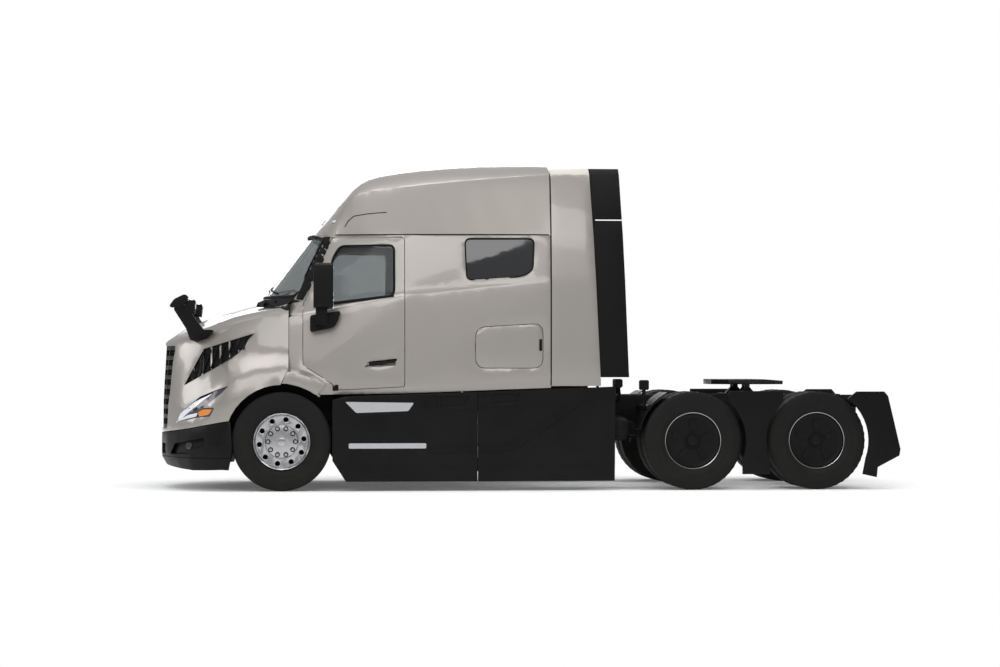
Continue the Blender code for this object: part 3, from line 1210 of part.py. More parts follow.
def cover_pads():
    pads = []
    for i in range(COVER_PADS):
        angle = math.radians(90) + 2 * math.pi * i / COVER_PADS
        along = (math.cos(angle), math.sin(angle))
        outline = []
        for radius, half, sign in ((PAD_RADII[0], PAD_HALVES[0], -1), (PAD_RADII[1], PAD_HALVES[1], -1),
                                   (PAD_RADII[1], PAD_HALVES[1], 1), (PAD_RADII[0], PAD_HALVES[0], 1)):
            outline.append((along[0] * radius - along[1] * half * sign,
                            AXLE_Z + along[1] * radius + along[0] * half * sign))
        pads.append(prism(outline, COVER_LOW_Y - PAD_RISE, COVER_LOW_Y + PAD_RISE))
    return pads


def make_drive_wheels():
    outer, inner, half = DRIVE_OUTER_HALF, DRIVE_INNER_HALF, TYRE_WIDTH / 2
    bulge = RIM_SEAT + half * TYRE_BULGE_SHARE
    shoulder, edge = TYRE_RADIUS - TYRE_SHOULDER, TYRE_SHOULDER / 2
    profile = [(0.0, COVER_FACE_Y), (COVER_HUB_RADIUS, COVER_FACE_Y),
               (COVER_HUB_RADIUS + edge, COVER_LOW_Y),
               (RIM_LIP - edge, COVER_LOW_Y), (RIM_LIP - edge, outer + RIM_HALF + edge),
               (RIM_LIP, outer + RIM_HALF)]
    for middle in (outer, inner):
        profile += [(bulge, middle + half), (shoulder, middle + half - edge),
                    (TYRE_RADIUS, middle + TREAD_HALF),
                    (TYRE_RADIUS, middle - TREAD_HALF), (shoulder, middle - half + edge),
                    (bulge, middle - half)]
        if middle == outer:
            profile.append((RIM_LIP, (outer + inner) / 2))
    well = DRUM_RADIUS + HAND_HOLE_RADIUS * 2
    profile += [(RIM_LIP, inner - RIM_HALF), (well, inner - RIM_HALF), (well, DRIVE_HUB_Y),
                (DRIVE_BORE_RADIUS + RUN_GAP, DRIVE_HUB_Y),
                (DRIVE_BORE_RADIUS + RUN_GAP, DRIVE_STUB_Y + RUN_GAP),
                (0.0, DRIVE_STUB_Y + RUN_GAP)]
    wheel = plus(turned(profile, 0.0, AXLE_Z), *cover_pads())
    for number, x in enumerate(DRIVE_AXLE_XS, 1):
        hubs = {side: axis_empty(f"drive_hub_{number}_{side}", (x, 0.0, AXLE_Z)) for side, _ in SIDES}
        pair = copied(wheel)
        pair.data.transform(Matrix.Translation((x, 0, 0)))
        both_sides(pair, f"drive_wheel_{number}", "tyre_rubber", hubs, 40)
    bpy.data.objects.remove(wheel, do_unlink=True)


# Drive axles: a housing with the differential's bowl, brake drums, trailing arms and air springs
BOWL_RADIUS = 0.215
BOWL_HALF = 0.160
BOWL_SHOULDER_SHARE = 0.8
ARM_Y = 0.385
ARM_HALF = 0.035
ARM_REACH = 0.560
AIR_SPRING_RADIUS = 0.120
AIR_SPRING_X = 0.300
AIR_SPRING_Y = 0.385
HANGER_Z = 0.560


def make_drive_axles():
    for number, x in enumerate(DRIVE_AXLE_XS, 1):
        profile = ((0.0, -DRIVE_STUB_Y), (DRIVE_BORE_RADIUS, -DRIVE_STUB_Y),
                   (DRIVE_BORE_RADIUS, -DRIVE_DRUM_Y[1]),
                   (DRUM_RADIUS, -DRIVE_DRUM_Y[1]), (DRUM_RADIUS, -DRIVE_DRUM_Y[0]),
                   (AXLE_TUBE_RADIUS, -DRIVE_DRUM_Y[0]),
                   (AXLE_TUBE_RADIUS, -BOWL_HALF), (BOWL_RADIUS * BOWL_SHOULDER_SHARE, -BOWL_HALF / 2),
                   (BOWL_RADIUS, 0.0),
                   (BOWL_RADIUS * BOWL_SHOULDER_SHARE, BOWL_HALF / 2), (AXLE_TUBE_RADIUS, BOWL_HALF),
                   (AXLE_TUBE_RADIUS, DRIVE_DRUM_Y[0]),
                   (DRUM_RADIUS, DRIVE_DRUM_Y[0]), (DRUM_RADIUS, DRIVE_DRUM_Y[1]),
                   (DRIVE_BORE_RADIUS, DRIVE_DRUM_Y[1]),
                   (DRIVE_BORE_RADIUS, DRIVE_STUB_Y), (0.0, DRIVE_STUB_Y))
        housing = turned(profile, x, AXLE_Z, PIN_FACETS)
        parts = []
        for sign in (-1, 1):
            y0, y1 = sorted((sign * (ARM_Y - ARM_HALF), sign * (ARM_Y + ARM_HALF)))
            low = AXLE_Z - AXLE_TUBE_RADIUS
            outline = ((x - ARM_REACH, HANGER_Z), (x - ARM_REACH, HANGER_Z + EYE_RADIUS),
                       (x, AXLE_Z + AXLE_TUBE_RADIUS),
                       (x + AIR_SPRING_X + AIR_SPRING_RADIUS, AXLE_Z - AXLE_TUBE_RADIUS / 2),
                       (x + AIR_SPRING_X + AIR_SPRING_RADIUS, low), (x, low))
            parts.append(prism(outline, y0, y1))
            parts.append(box((x - ARM_REACH, x - ARM_REACH + EYE_RADIUS), (y0, y1),
                             (HANGER_Z, RAIL_TOP - RAIL_HEIGHT - SEAT_GAP)))
            parts.append(prism(circle(AIR_SPRING_RADIUS, (x + AIR_SPRING_X, sign * AIR_SPRING_Y), 16),
                               low + AXLE_TUBE_RADIUS / 2, RAIL_TOP - RAIL_HEIGHT - SEAT_GAP, "xy"))
        finish(plus(housing, *parts), f"drive_axle_{number}", "chassis_black", VEHICLE)


# Engine with its gearbox and the propeller shaft
ENGINE_X = (-0.900, 0.020)
ENGINE_Z = (0.640, 1.560)
ENGINE_HALF = RAIL_HALF_SPREAD - RAIL_FLANGE - SEAT_GAP
GEARBOX_X = 1.250
GEARBOX_HALF = 0.210
GEARBOX_Z = (0.600, 0.930)
SHAFT_RADIUS = 0.055


def make_driveline():
    block = box(ENGINE_X, (-ENGINE_HALF, ENGINE_HALF), ENGINE_Z)
    gearbox = box((ENGINE_X[1] - EYE_RADIUS, GEARBOX_X), (-GEARBOX_HALF, GEARBOX_HALF), GEARBOX_Z)
    finish(plus(block, gearbox), "engine", "cast_iron", VEHICLE)
    stations = ((GEARBOX_X + SEAT_GAP, GEARBOX_Z[1] - BOWL_HALF),
                (DRIVE_AXLE_XS[0] - BOWL_RADIUS - SEAT_GAP, AXLE_Z + EYE_RADIUS))
    rings = []
    for x, z in stations:
        rings.append([(x, y, zz) for y, zz in circle(SHAFT_RADIUS, (0.0, z), ROD_FACETS)])
    finish(loft(rings), "prop_shaft", "chassis_black", VEHICLE)


# Fuel tanks with their saddles and the step box ahead of the right and left tank
TANK_RADIUS = 0.310
TANK_CENTRE = (0.815, 0.640)
TANK_X = (1.680, 3.380)
SADDLE_XS = (2.000, 3.050)
SADDLE_WIDTH = 0.080
STEP_BOX_X = (0.680, 1.600)
STEP_BOX_Y = (0.560, 1.120)
STEP_BOX_Z = (0.300, 0.900)


def make_tanks():
    body = prism(circle(TANK_RADIUS, TANK_CENTRE), *TANK_X, "yz")
    saddles = []
    for x in SADDLE_XS:
        saddles.append(box((x - SADDLE_WIDTH / 2, x + SADDLE_WIDTH / 2),
                           (RAIL_HALF_SPREAD + SEAT_GAP, TANK_CENTRE[0]),
                           (RAIL_TOP - RAIL_HEIGHT + RAIL_WEB, RAIL_TOP - CROSS_DROP)))
    both_sides(plus(body, *saddles), "fuel_tank", "aluminium")


# Side skirts. The outline is drawn from the side; the step panel ahead carries two treads.
SKIRT_Y = (1.165, SIDE_HALF_WIDTH)
SKIRT_SPLIT_X = 2.041
SKIRT_TOP = ((0.655, 0.985), (DOOR_REAR_X, 1.005), (SKIRT_SPLIT_X, 1.034), (3.490, 1.088))
SKIRT_BASE_Z = 0.098
SKIRT_NOSE = ((0.525, 0.951), (0.525, 0.317), (0.666, 0.099))
STEP_UPPER = ((0.654, 0.935), (1.381, 0.924), (1.319, 0.830), (0.768, 0.811))
STEP_LOWER = ((0.691, 0.440), (1.506, 0.440), (1.506, 0.502), (0.691, 0.502))
STEP_RECESS = 0.020
FLAP_LINE_Z = 0.262
FLAP_DEPTH = 0.008
# Shallow forms of the skirts' outer face, from the side (x, z): the raised band's groove and the
# hand pockets ahead of the split, then behind it, and the line below which the face stands out
BAND_OUTLINE = ((1.522, 0.459), (2.051, 0.472), (2.275, 0.487), (2.428, 0.508), (3.310, 1.130),
                (3.450, 1.130), (2.499, 0.456), (2.337, 0.406), (2.051, 0.397), (1.542, 0.388))
BAND_DEPTH = 0.008
POCKET_OUTLINES = (
    ((1.461, 0.862), (1.623, 0.862), (1.623, 0.990), (1.542, 0.990)),
    ((1.646, 0.870), (1.908, 0.892), (1.960, 0.990), (1.646, 0.985)),
    ((2.194, 0.908), (2.453, 0.928), (2.490, 1.020), (2.194, 1.010)),
)
SHELF_LINE = ((0.525, 0.724), (2.041, 0.849), (3.520, 0.953))
SHELF_DEPTH = 0.006


def skirt_forms():
    """Cutters for the shallow forms of the right-hand skirts' outer face."""
    face = SKIRT_Y[1]
    forms = [prism(BAND_OUTLINE, face - BAND_DEPTH, face + OVERRUN)]
    for outline in POCKET_OUTLINES:
        forms.append(prism(outline, face - STEP_RECESS, face + OVERRUN))
    above = SHELF_LINE + ((SHELF_LINE[2][0], SKIRT_TOP[3][1] + OVERRUN),
                          (SHELF_LINE[0][0], SKIRT_TOP[3][1] + OVERRUN))
    forms.append(prism(above, face - SHELF_DEPTH, face + OVERRUN))
    forms.append(box((0.0, SHELF_LINE[2][0]), (face - FLAP_DEPTH, face + OVERRUN), (0.0, FLAP_LINE_Z)))
    return forms


def make_skirts():
    front = [SKIRT_NOSE[2], SKIRT_NOSE[1], SKIRT_NOSE[0], SKIRT_TOP[0], SKIRT_TOP[1],
             (SKIRT_SPLIT_X - PANEL_GAP / 2, SKIRT_TOP[2][1]),
             (SKIRT_SPLIT_X - PANEL_GAP / 2, SKIRT_BASE_Z)]
    panel = prism(front, *SKIRT_Y)
    backing = box(STEP_BOX_X, (STEP_BOX_Y[0], SKIRT_Y[0] + STEP_RECESS / 2), STEP_BOX_Z)
    bracket_y = (RAIL_HALF_SPREAD + SEAT_GAP, STEP_BOX_Y[0] + STEP_RECESS)
    bracket_z = (RAIL_TOP - RAIL_HEIGHT + RAIL_WEB, STEP_BOX_Z[1])
    bracket = box((STEP_BOX_X[1] - SADDLE_WIDTH * 2, STEP_BOX_X[1] - SADDLE_WIDTH), bracket_y, bracket_z)
    bracket_front = box((STEP_BOX_X[0] + SADDLE_WIDTH, STEP_BOX_X[0] + SADDLE_WIDTH * 2), bracket_y,
                        bracket_z)
    recess = prism(STEP_UPPER, SKIRT_Y[1] - STEP_RECESS, SKIRT_Y[1] + OVERRUN)
    lower = prism(STEP_LOWER, SKIRT_Y[1] - STEP_RECESS, SKIRT_Y[1] + OVERRUN)
    both_sides(less(plus(panel, backing, bracket, bracket_front), recess, lower, *skirt_forms()),
               "skirt_front", "black_plastic")
    rear = ((SKIRT_SPLIT_X + PANEL_GAP / 2, SKIRT_BASE_Z), (SKIRT_SPLIT_X + PANEL_GAP / 2, SKIRT_TOP[2][1]),
            SKIRT_TOP[3], (SKIRT_TOP[3][0] - PANEL_GAP, SKIRT_BASE_Z))
    panel = prism(rear, *SKIRT_Y)
    stays = []
    stay_y = (TANK_CENTRE[0] + TANK_RADIUS + SEAT_GAP, SKIRT_Y[0] + STEP_RECESS / 2)
    for x in SADDLE_XS:
        stays.append(box((x + SADDLE_WIDTH, x + SADDLE_WIDTH * 2), stay_y,
                         (TANK_CENTRE[1] - SADDLE_WIDTH, TANK_CENTRE[1] + SADDLE_WIDTH)))
    both_sides(less(plus(panel, *stays), *skirt_forms()), "skirt_rear", "black_plastic")


# Fenders and fairings round the drive wheels
FENDER_RADIUS = 0.553
FENDER_THICKNESS = 0.012
FENDER_Y = (0.620, 1.180)
FENDER_ARC = (118, 168)
REAR_ARCH_ARC = (-20, 54)
ARC_STEPS = 10
FAIRING_Y = (1.232, 1.262)
FAIRING_TOP_HALF = 0.289
FAIRING_BASE_HALF = 0.145
FAIRING_Z = (0.165, 1.040)
STAY_RADIUS = 0.030
# Rear fairing: distance ahead of the vehicle's end and z of its rear outline
REAR_OUTLINE = ((0.480, 1.034), (0.182, 1.034), (0.140, 0.985), (0.008, 0.424), (0.020, 0.356),
                (0.253, 0.235),
                (0.264, 0.128), (0.416, 0.161))
REAR_ARCH_RADIUS = 0.545


def stay(x, z, y_end):
    """A round stay from the rail's outer face to a panel."""
    return turned(((0.0, RAIL_HALF_SPREAD + SEAT_GAP), (STAY_RADIUS, RAIL_HALF_SPREAD + SEAT_GAP),
                   (STAY_RADIUS, y_end), (0.0, y_end)), x, z, ROD_FACETS)


def make_fenders():
    x = DRIVE_AXLE_XS[0]
    inner, outer = FENDER_RADIUS + FENDER_THICKNESS, FENDER_RADIUS + FENDER_THICKNESS * 2
    outline = arc(outer, (x, AXLE_Z), *FENDER_ARC, ARC_STEPS)
    outline += arc(inner, (x, AXLE_Z), *reversed(FENDER_ARC), ARC_STEPS)
    middle = math.radians(sum(FENDER_ARC) / 2)
    post = stay(x + outer * math.cos(middle), AXLE_Z + outer * math.sin(middle), FENDER_Y[1] - STAY_RADIUS)
    both_sides(plus(prism(outline, *FENDER_Y), post), "quarter_fender", "black_plastic")
    rise = math.degrees(math.acos((TANDEM_SPACING / 2 - FAIRING_TOP_HALF) / FENDER_RADIUS))
    fall = math.degrees(math.acos((TANDEM_SPACING / 2 - FAIRING_BASE_HALF) / FENDER_RADIUS))
    edge = arc(FENDER_RADIUS, (DRIVE_AXLE_XS[0], AXLE_Z), -fall, rise, ARC_STEPS)
    outline = [(WHEELBASE - FAIRING_BASE_HALF, FAIRING_Z[0])] + edge + [(WHEELBASE - FAIRING_TOP_HALF,
                                                                         FAIRING_Z[1])]
    outline += [(2 * WHEELBASE - px, pz) for px, pz in reversed(outline)]
    stay_z, stay_end = RAIL_TOP - CROSS_DROP * 2, FAIRING_Y[0] + STEP_RECESS / 2
    panel = plus(prism(outline, *FAIRING_Y), stay(WHEELBASE, stay_z, stay_end))
    both_sides(panel, "tandem_fairing", "black_plastic")
    arch = arc(REAR_ARCH_RADIUS, (DRIVE_AXLE_XS[1], AXLE_Z), *REAR_ARCH_ARC, ARC_STEPS)
    outline = [(REAR_REACH - ahead, z) for ahead, z in REAR_OUTLINE] + arch
    panel = plus(prism(outline, *FAIRING_Y), stay(RAIL_SPAN[1] - STAY_RADIUS * 2, stay_z, stay_end))
    both_sides(panel, "rear_fairing", "black_plastic")


# Fifth wheel: a base with two pedestals, and the plate that tilts on them
PLATE_OFFSET = 0.060
PLATE_AHEAD = 0.364
PLATE_BEHIND = 0.404
PLATE_PIVOT = (WHEELBASE + PLATE_OFFSET, 1.070)
PLATE_X = (PLATE_PIVOT[0] - PLATE_AHEAD, PLATE_PIVOT[0] + PLATE_BEHIND)
PLATE_TOP = 1.159
PLATE_THICKNESS = 0.055
PLATE_HALF = 0.450
PLATE_NOSE_SHARE = 0.55
PLATE_SHOULDER_SHARE = 0.35
PLATE_RAMP_SHARE = 0.5
PLATE_TAIL_SHARE = 0.85
THROAT_SHARE = 0.25
THROAT_X = PLATE_PIVOT[0]
THROAT_HALF = 0.045
THROAT_MOUTH_HALF = 0.190
RAMP_DROP = 0.030
PEDESTAL_Y = (0.300, 0.400)
PEDESTAL_HALF = 0.110
# The base plate ends clear of the open bay between the rails ahead of it
BASE_HALF = 0.180
PLATE_PIN_RADIUS = 0.030

PLATE_AXIS = axis_empty("fifth_wheel_pivot", (PLATE_PIVOT[0], 0.0, PLATE_PIVOT[1]))


def make_fifth_wheel():
    base_z = RAIL_TOP + SEAT_GAP
    base = box((PLATE_PIVOT[0] - BASE_HALF, PLATE_PIVOT[0] + BASE_HALF),
               (-RAIL_HALF_SPREAD, RAIL_HALF_SPREAD), (base_z, base_z + RAIL_WEB))
    parts = []
    for sign in (-1, 1):
        y0, y1 = sorted((sign * PEDESTAL_Y[0], sign * PEDESTAL_Y[1]))
        outline = ((PLATE_PIVOT[0] - PEDESTAL_HALF, base_z), (PLATE_PIVOT[0] + PEDESTAL_HALF, base_z),
                   (PLATE_PIVOT[0] + PLATE_PIN_RADIUS, PLATE_PIVOT[1] + PLATE_PIN_RADIUS / 3),
                   (PLATE_PIVOT[0] - PLATE_PIN_RADIUS, PLATE_PIVOT[1] + PLATE_PIN_RADIUS / 3))
        parts.append(prism(outline, y0, y1))
    finish(plus(base, *parts), "fifth_wheel_base", "chassis_black", VEHICLE)
    half = PLATE_HALF
    plan = ((PLATE_X[0], -half * PLATE_NOSE_SHARE), (PLATE_X[0] + half * PLATE_SHOULDER_SHARE, -half),
            (PLATE_X[1] - half * PLATE_RAMP_SHARE, -half),
            (PLATE_X[1], -half * PLATE_TAIL_SHARE), (PLATE_X[1], -THROAT_MOUTH_HALF),
            (THROAT_X + half * THROAT_SHARE, -THROAT_HALF),
            (THROAT_X, -THROAT_HALF), (THROAT_X, THROAT_HALF),
            (THROAT_X + half * THROAT_SHARE, THROAT_HALF),
            (PLATE_X[1], THROAT_MOUTH_HALF), (PLATE_X[1], half * PLATE_TAIL_SHARE),
            (PLATE_X[1] - half * PLATE_RAMP_SHARE, half),
            (PLATE_X[0] + half * PLATE_SHOULDER_SHARE, half), (PLATE_X[0], half * PLATE_NOSE_SHARE))
    plate = prism(plan, PLATE_TOP - PLATE_THICKNESS, PLATE_TOP, "xy")
    ramp = prism(((PLATE_X[1] - half * PLATE_RAMP_SHARE, PLATE_TOP),
                  (PLATE_X[1] + OVERRUN, PLATE_TOP + OVERRUN),
                  (PLATE_X[1] + OVERRUN, PLATE_TOP - RAMP_DROP)), -half - OVERRUN, half + OVERRUN)
    ears = []
    for sign in (-1, 1):
        inside = (PEDESTAL_Y[0] - PLATE_PIN_RADIUS, PEDESTAL_Y[0] - RUN_GAP)
        outside = (PEDESTAL_Y[1] + RUN_GAP, PEDESTAL_Y[1] + PLATE_PIN_RADIUS)
        for span in (inside, outside):
            y0, y1 = sorted((sign * span[0], sign * span[1]))
            ears.append(box((PLATE_PIVOT[0] - PLATE_PIN_RADIUS, PLATE_PIVOT[0] + PLATE_PIN_RADIUS),
                            (y0, y1),
                            (PLATE_PIVOT[1] - PLATE_PIN_RADIUS, PLATE_TOP - PLATE_THICKNESS / 2)))
    finish(less(plus(plate, *ears), ramp), "fifth_wheel_plate", "greased_steel", PLATE_AXIS)


# Interior: dash, seats and bunk on one floor pad
FLOOR_PAD = 0.020
FLOOR_X = (0.250, 2.700)
FLOOR_HALF = 0.960
DASH_X = (0.180, 0.520)
DASH_HALF = 0.850
DASH_TOP = 1.900
DASH_DEPTH = 0.420
SEAT_X = (0.880, 1.350)
SEAT_HALF = 0.250
SEAT_Y = 0.520
SEAT_CUSHION_Z = (1.500, 1.620)
SEAT_BACK_TOP = 2.250
SEAT_BACK_THICKNESS = 0.120
SEAT_FOOT_SHARE = 1.2
BUNK_X = (1.900, 2.700)
BUNK_Z = (1.480, 1.640)
BUNK_HALF = 1.050


def make_interior():
    floor_z = CAB_RAILS[0][3] + CAB_WALL
    pad = box(FLOOR_X, (-FLOOR_HALF, FLOOR_HALF), (CAB_FLOOR_Z, floor_z + FLOOR_PAD))
    pad = common(pad, cab_solid(CAB_WALL + SEAT_GAP))
    pad = less(pad, wheel_arch(LINING_RADII[1] + PANEL_GAP))
    parts = [box(DASH_X, (-DASH_HALF, DASH_HALF), (DASH_TOP - DASH_DEPTH, DASH_TOP)),
             box((FLOOR_X[0] + FLOOR_PAD, FLOOR_X[0] + DASH_DEPTH / 2), (-DASH_HALF / 3, DASH_HALF / 3),
                 (floor_z, DASH_TOP - DASH_DEPTH / 2)),
             box(BUNK_X, (-BUNK_HALF, BUNK_HALF), BUNK_Z),
             box((BUNK_X[0] + SEAT_BACK_THICKNESS, BUNK_X[1] - SEAT_BACK_THICKNESS),
                 (-DASH_HALF / 2, DASH_HALF / 2),
                 (floor_z, BUNK_Z[0] + FLOOR_PAD))]
    for sign in (-1, 1):
        y0, y1 = sorted((sign * SEAT_Y - SEAT_HALF, sign * SEAT_Y + SEAT_HALF))
        parts.append(box(SEAT_X, (y0, y1), SEAT_CUSHION_Z))
        parts.append(box((SEAT_X[1] - SEAT_BACK_THICKNESS, SEAT_X[1]), (y0, y1),
                         (SEAT_CUSHION_Z[0], SEAT_BACK_TOP)))
        foot = SEAT_BACK_THICKNESS
        parts.append(box((SEAT_X[0] + foot, SEAT_X[1] - foot * SEAT_FOOT_SHARE), (y0 + foot, y1 - foot),
                         (floor_z, SEAT_CUSHION_Z[0] + FLOOR_PAD)))
    finish(plus(pad, *parts), "cab_interior", "interior_trim", VEHICLE)


make_cab()
make_roof()
make_glass()
make_doors()
make_door_mirrors()
make_cowl()
make_hood()
make_lamps_and_grille()
make_hood_mirrors()
make_extenders()
make_frame()
make_bumper()
make_front_axle()
make_knuckles()
make_tie_rod()
make_steer_wheels()
make_drive_wheels()
make_drive_axles()
make_driveline()
make_tanks()
make_skirts()
make_fenders()
make_fifth_wheel()
make_interior()
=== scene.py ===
# %% [markdown]
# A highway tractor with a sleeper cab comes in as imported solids, one for each real panel, casting
# or wheel. Every solid already sits at its true place in metres, so this file only has to dress it:
# finishes, tread, lamps, seals, glass and the small ironwork.
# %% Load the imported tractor
import json
import math

import bmesh
import bpy
import numpy as np
from mathutils import Matrix, Vector
from mathutils.bvhtree import BVHTree
from mathutils.geometry import delaunay_2d_cdt

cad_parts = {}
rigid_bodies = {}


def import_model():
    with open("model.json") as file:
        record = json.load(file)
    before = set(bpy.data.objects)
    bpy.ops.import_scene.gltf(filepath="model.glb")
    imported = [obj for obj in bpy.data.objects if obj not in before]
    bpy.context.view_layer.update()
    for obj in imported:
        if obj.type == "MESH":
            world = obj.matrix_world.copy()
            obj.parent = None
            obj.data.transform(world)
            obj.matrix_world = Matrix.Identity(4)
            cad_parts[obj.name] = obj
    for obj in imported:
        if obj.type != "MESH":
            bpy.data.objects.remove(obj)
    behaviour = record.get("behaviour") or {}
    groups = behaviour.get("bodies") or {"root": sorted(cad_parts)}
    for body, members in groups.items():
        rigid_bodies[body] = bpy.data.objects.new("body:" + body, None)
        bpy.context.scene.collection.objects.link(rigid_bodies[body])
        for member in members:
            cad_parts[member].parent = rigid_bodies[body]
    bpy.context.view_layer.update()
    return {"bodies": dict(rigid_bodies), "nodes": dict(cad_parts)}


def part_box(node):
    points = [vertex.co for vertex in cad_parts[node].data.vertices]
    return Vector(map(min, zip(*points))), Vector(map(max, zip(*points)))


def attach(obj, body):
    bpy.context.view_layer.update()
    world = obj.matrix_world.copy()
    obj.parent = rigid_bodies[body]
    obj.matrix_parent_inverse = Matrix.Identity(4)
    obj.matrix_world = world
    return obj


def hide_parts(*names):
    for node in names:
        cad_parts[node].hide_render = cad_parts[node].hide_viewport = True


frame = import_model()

# %% [markdown]
# Drawings of a truck measure lengths back from the front axle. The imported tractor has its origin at
# the middle of its length, so one value turns a drawing length into a place in the scene.
# The driver's left side has negative y.
# %% Shared places
FRONT_AXLE_X = -2.6165
AXLE_Z = 0.517
STEER_CENTRE = (FRONT_AXLE_X, AXLE_Z)
DRIVE_AXLE_XS = (1.699, 3.020)
STEER_MIDDLE_Y = 1.030
DRIVE_MIDDLE_YS = (1.080, 0.740)
SIDES = (("left", -1), ("right", 1))


def behind_axle(x):
    """Scene x of a point that lies x metres behind the front axle."""
    return x + FRONT_AXLE_X


def back_from_axle(points):
    """Outline points measured behind the front axle, as scene points."""
    return [(behind_axle(x), z) for x, z in points]


print("front axle at", FRONT_AXLE_X, "drive axles at", DRIVE_AXLE_XS)

# %% [markdown]
# The picture was taken from far away with a long lens, almost square to the left side and about
# chest high. A long lens keeps the wheels round and the far side hidden behind the near one.
# %% Camera


def new_object(name, data):
    """An object in the scene."""
    made = bpy.data.objects.new(name, data)
    bpy.context.scene.collection.objects.link(made)
    return made


camera = new_object("camera", bpy.data.cameras.new("camera"))
camera.location = (-2.4718, -26.090, 1.3206)
camera.rotation_euler = (math.radians(90.741), 0.0, math.radians(-4.888))
camera.data.lens = 85.97
camera.data.sensor_width = 36.0
camera.data.clip_end = 500.0
bpy.context.scene.camera = camera
bpy.context.scene.view_settings.view_transform = "Standard"
print("camera", round(camera.location.length, 1), "m away")

# %% [markdown]
# Every tree of nodes below is drawn with the same small function: it adds a node, sets its options,
# and gives each named input either a constant or a link from another node.
# %% Add a node to a tree


def feed(node, inputs):
    """Gives each input of a node a constant, or a link from another node's output."""
    for key, value in inputs.items():
        if isinstance(value, bpy.types.NodeSocket):
            node.id_data.links.new(value, node.inputs[key])
        else:
            node.inputs[key].default_value = value


def add_node(tree, kind, inputs=None, **options):
    """Adds a node and returns its outputs."""
    node = tree.nodes.new(kind)
    for name, value in options.items():
        setattr(node, name, value)
    feed(node, inputs or {})
    return node.outputs


def emptied(owner):
    """The node tree of a material or world, with nothing in it."""
    owner.use_nodes = True
    owner.node_tree.nodes.clear()
    return owner.node_tree


print("nodes are added by", add_node.__name__)

# %% [markdown]
# A finish is a small tree of nodes. Two noises at different scales break up the colour, one of them
# also changes how rough the surface is, and a fine one raises the surface a little. One function
# builds them all, so that every finish reads the object's own coordinates in metres.
# %% Build one finish
FINISHES = {}
DUST_TOP = 1.1
DUST_COLOUR = (0.20, 0.18, 0.15, 1.0)
GRAIN_HEIGHT = 0.001
LACQUER_ROUGHNESS = 0.06


def finish_tree(name, colour, dark, rough, spread, patch, grain, bump, metallic=0.0, coat=0.0, dust=0.0,
                stretch=(1.0, 1.0, 1.0), settings=None):
    """Colour fades to dark in patches; rough varies by spread; dust settles below DUST_TOP."""
    made = bpy.data.materials.new(name)
    made.use_nodes = True
    tree = made.node_tree
    place = add_node(tree, "ShaderNodeTexCoord")["Object"]
    turned = add_node(tree, "ShaderNodeMapping", {"Vector": place, "Scale": stretch})["Vector"]
    patches, fine = [
        add_node(tree, "ShaderNodeTexNoise", {"Vector": turned, "Scale": scale, "Detail": detail})["Fac"]
        for scale, detail in ((patch, 5.0), (grain, 2.0))]
    tint = add_node(tree, "ShaderNodeMix", {"A": (*colour, 1.0), "B": (*dark, 1.0), "Factor": patches},
                    data_type="RGBA")["Result"]
    if dust:
        height = add_node(tree, "ShaderNodeSeparateXYZ", {"Vector": place})["Z"]
        low = add_node(tree, "ShaderNodeMapRange", {"Value": height, "From Min": 0.0, "From Max": DUST_TOP,
                                                    "To Min": dust, "To Max": 0.0})["Result"]
        amount = add_node(tree, "ShaderNodeMath", {0: low, 1: patches}, operation="MULTIPLY")["Value"]
        tint = add_node(tree, "ShaderNodeMix", {"A": tint, "B": DUST_COLOUR, "Factor": amount},
                        data_type="RGBA")["Result"]
    sheen = add_node(tree, "ShaderNodeMapRange", {
        "Value": patches, "From Min": 0.3, "From Max": 0.7, "To Min": rough - spread,
        "To Max": rough + spread})
    relief = add_node(tree, "ShaderNodeBump", {"Height": fine, "Strength": bump, "Distance": GRAIN_HEIGHT})
    feed(tree.nodes["Principled BSDF"], {
        "Base Color": tint, "Roughness": sheen["Result"], "Normal": relief["Normal"], "Metallic": metallic,
        "Coat Weight": coat, "Coat Roughness": LACQUER_ROUGHNESS, **(settings or {})})
    FINISHES[name] = made


print("dust settles below", DUST_TOP, "m")

# %% [markdown]
# The tractor wears about a dozen real finishes: greige metallic paint under clear lacquer, moulded
# black plastic with a leather grain, powder-coated steel with road dust, polished alloy, rubber,
# tinted glass and lamp plastics. Each gets the scale of detail that its maker's process leaves.
# %% Paint, plastic, metal and rubber
DULL = {"Specular IOR Level": 0.13}
finish_tree("body_paint", (0.335, 0.312, 0.284), (0.320, 0.298, 0.270), 0.36, 0.02, 0.8, 1400.0, 0.02,
            metallic=0.55, coat=0.7)
finish_tree("black_plastic", (0.0035, 0.0035, 0.0038), (0.0060, 0.0060, 0.0060), 0.42, 0.06, 3.0, 420.0, 0.30,
            dust=0.03, settings=DULL)
finish_tree("chassis_black", (0.0060, 0.0060, 0.0060), (0.0110, 0.0105, 0.0100), 0.50, 0.10, 4.0, 160.0, 0.25,
            dust=0.06, settings=DULL)
finish_tree("aluminium", (0.66, 0.67, 0.68), (0.54, 0.55, 0.56), 0.28, 0.07, 5.0, 300.0, 0.05,
            metallic=1.0, stretch=(1.0, 6.0, 1.0))
finish_tree("polished_rim", (0.52, 0.52, 0.53), (0.36, 0.36, 0.37), 0.22, 0.06, 6.0, 200.0, 0.04,
            metallic=1.0)
finish_tree("tyre_rubber", (0.0075, 0.0075, 0.0075), (0.0130, 0.0125, 0.0120), 0.66, 0.08, 6.0, 350.0, 0.4,
            dust=0.05, settings=DULL)
finish_tree("soft_rubber", (0.0040, 0.0040, 0.0040), (0.0070, 0.0070, 0.0070), 0.60, 0.08, 4.0, 260.0, 0.25,
            settings=DULL)
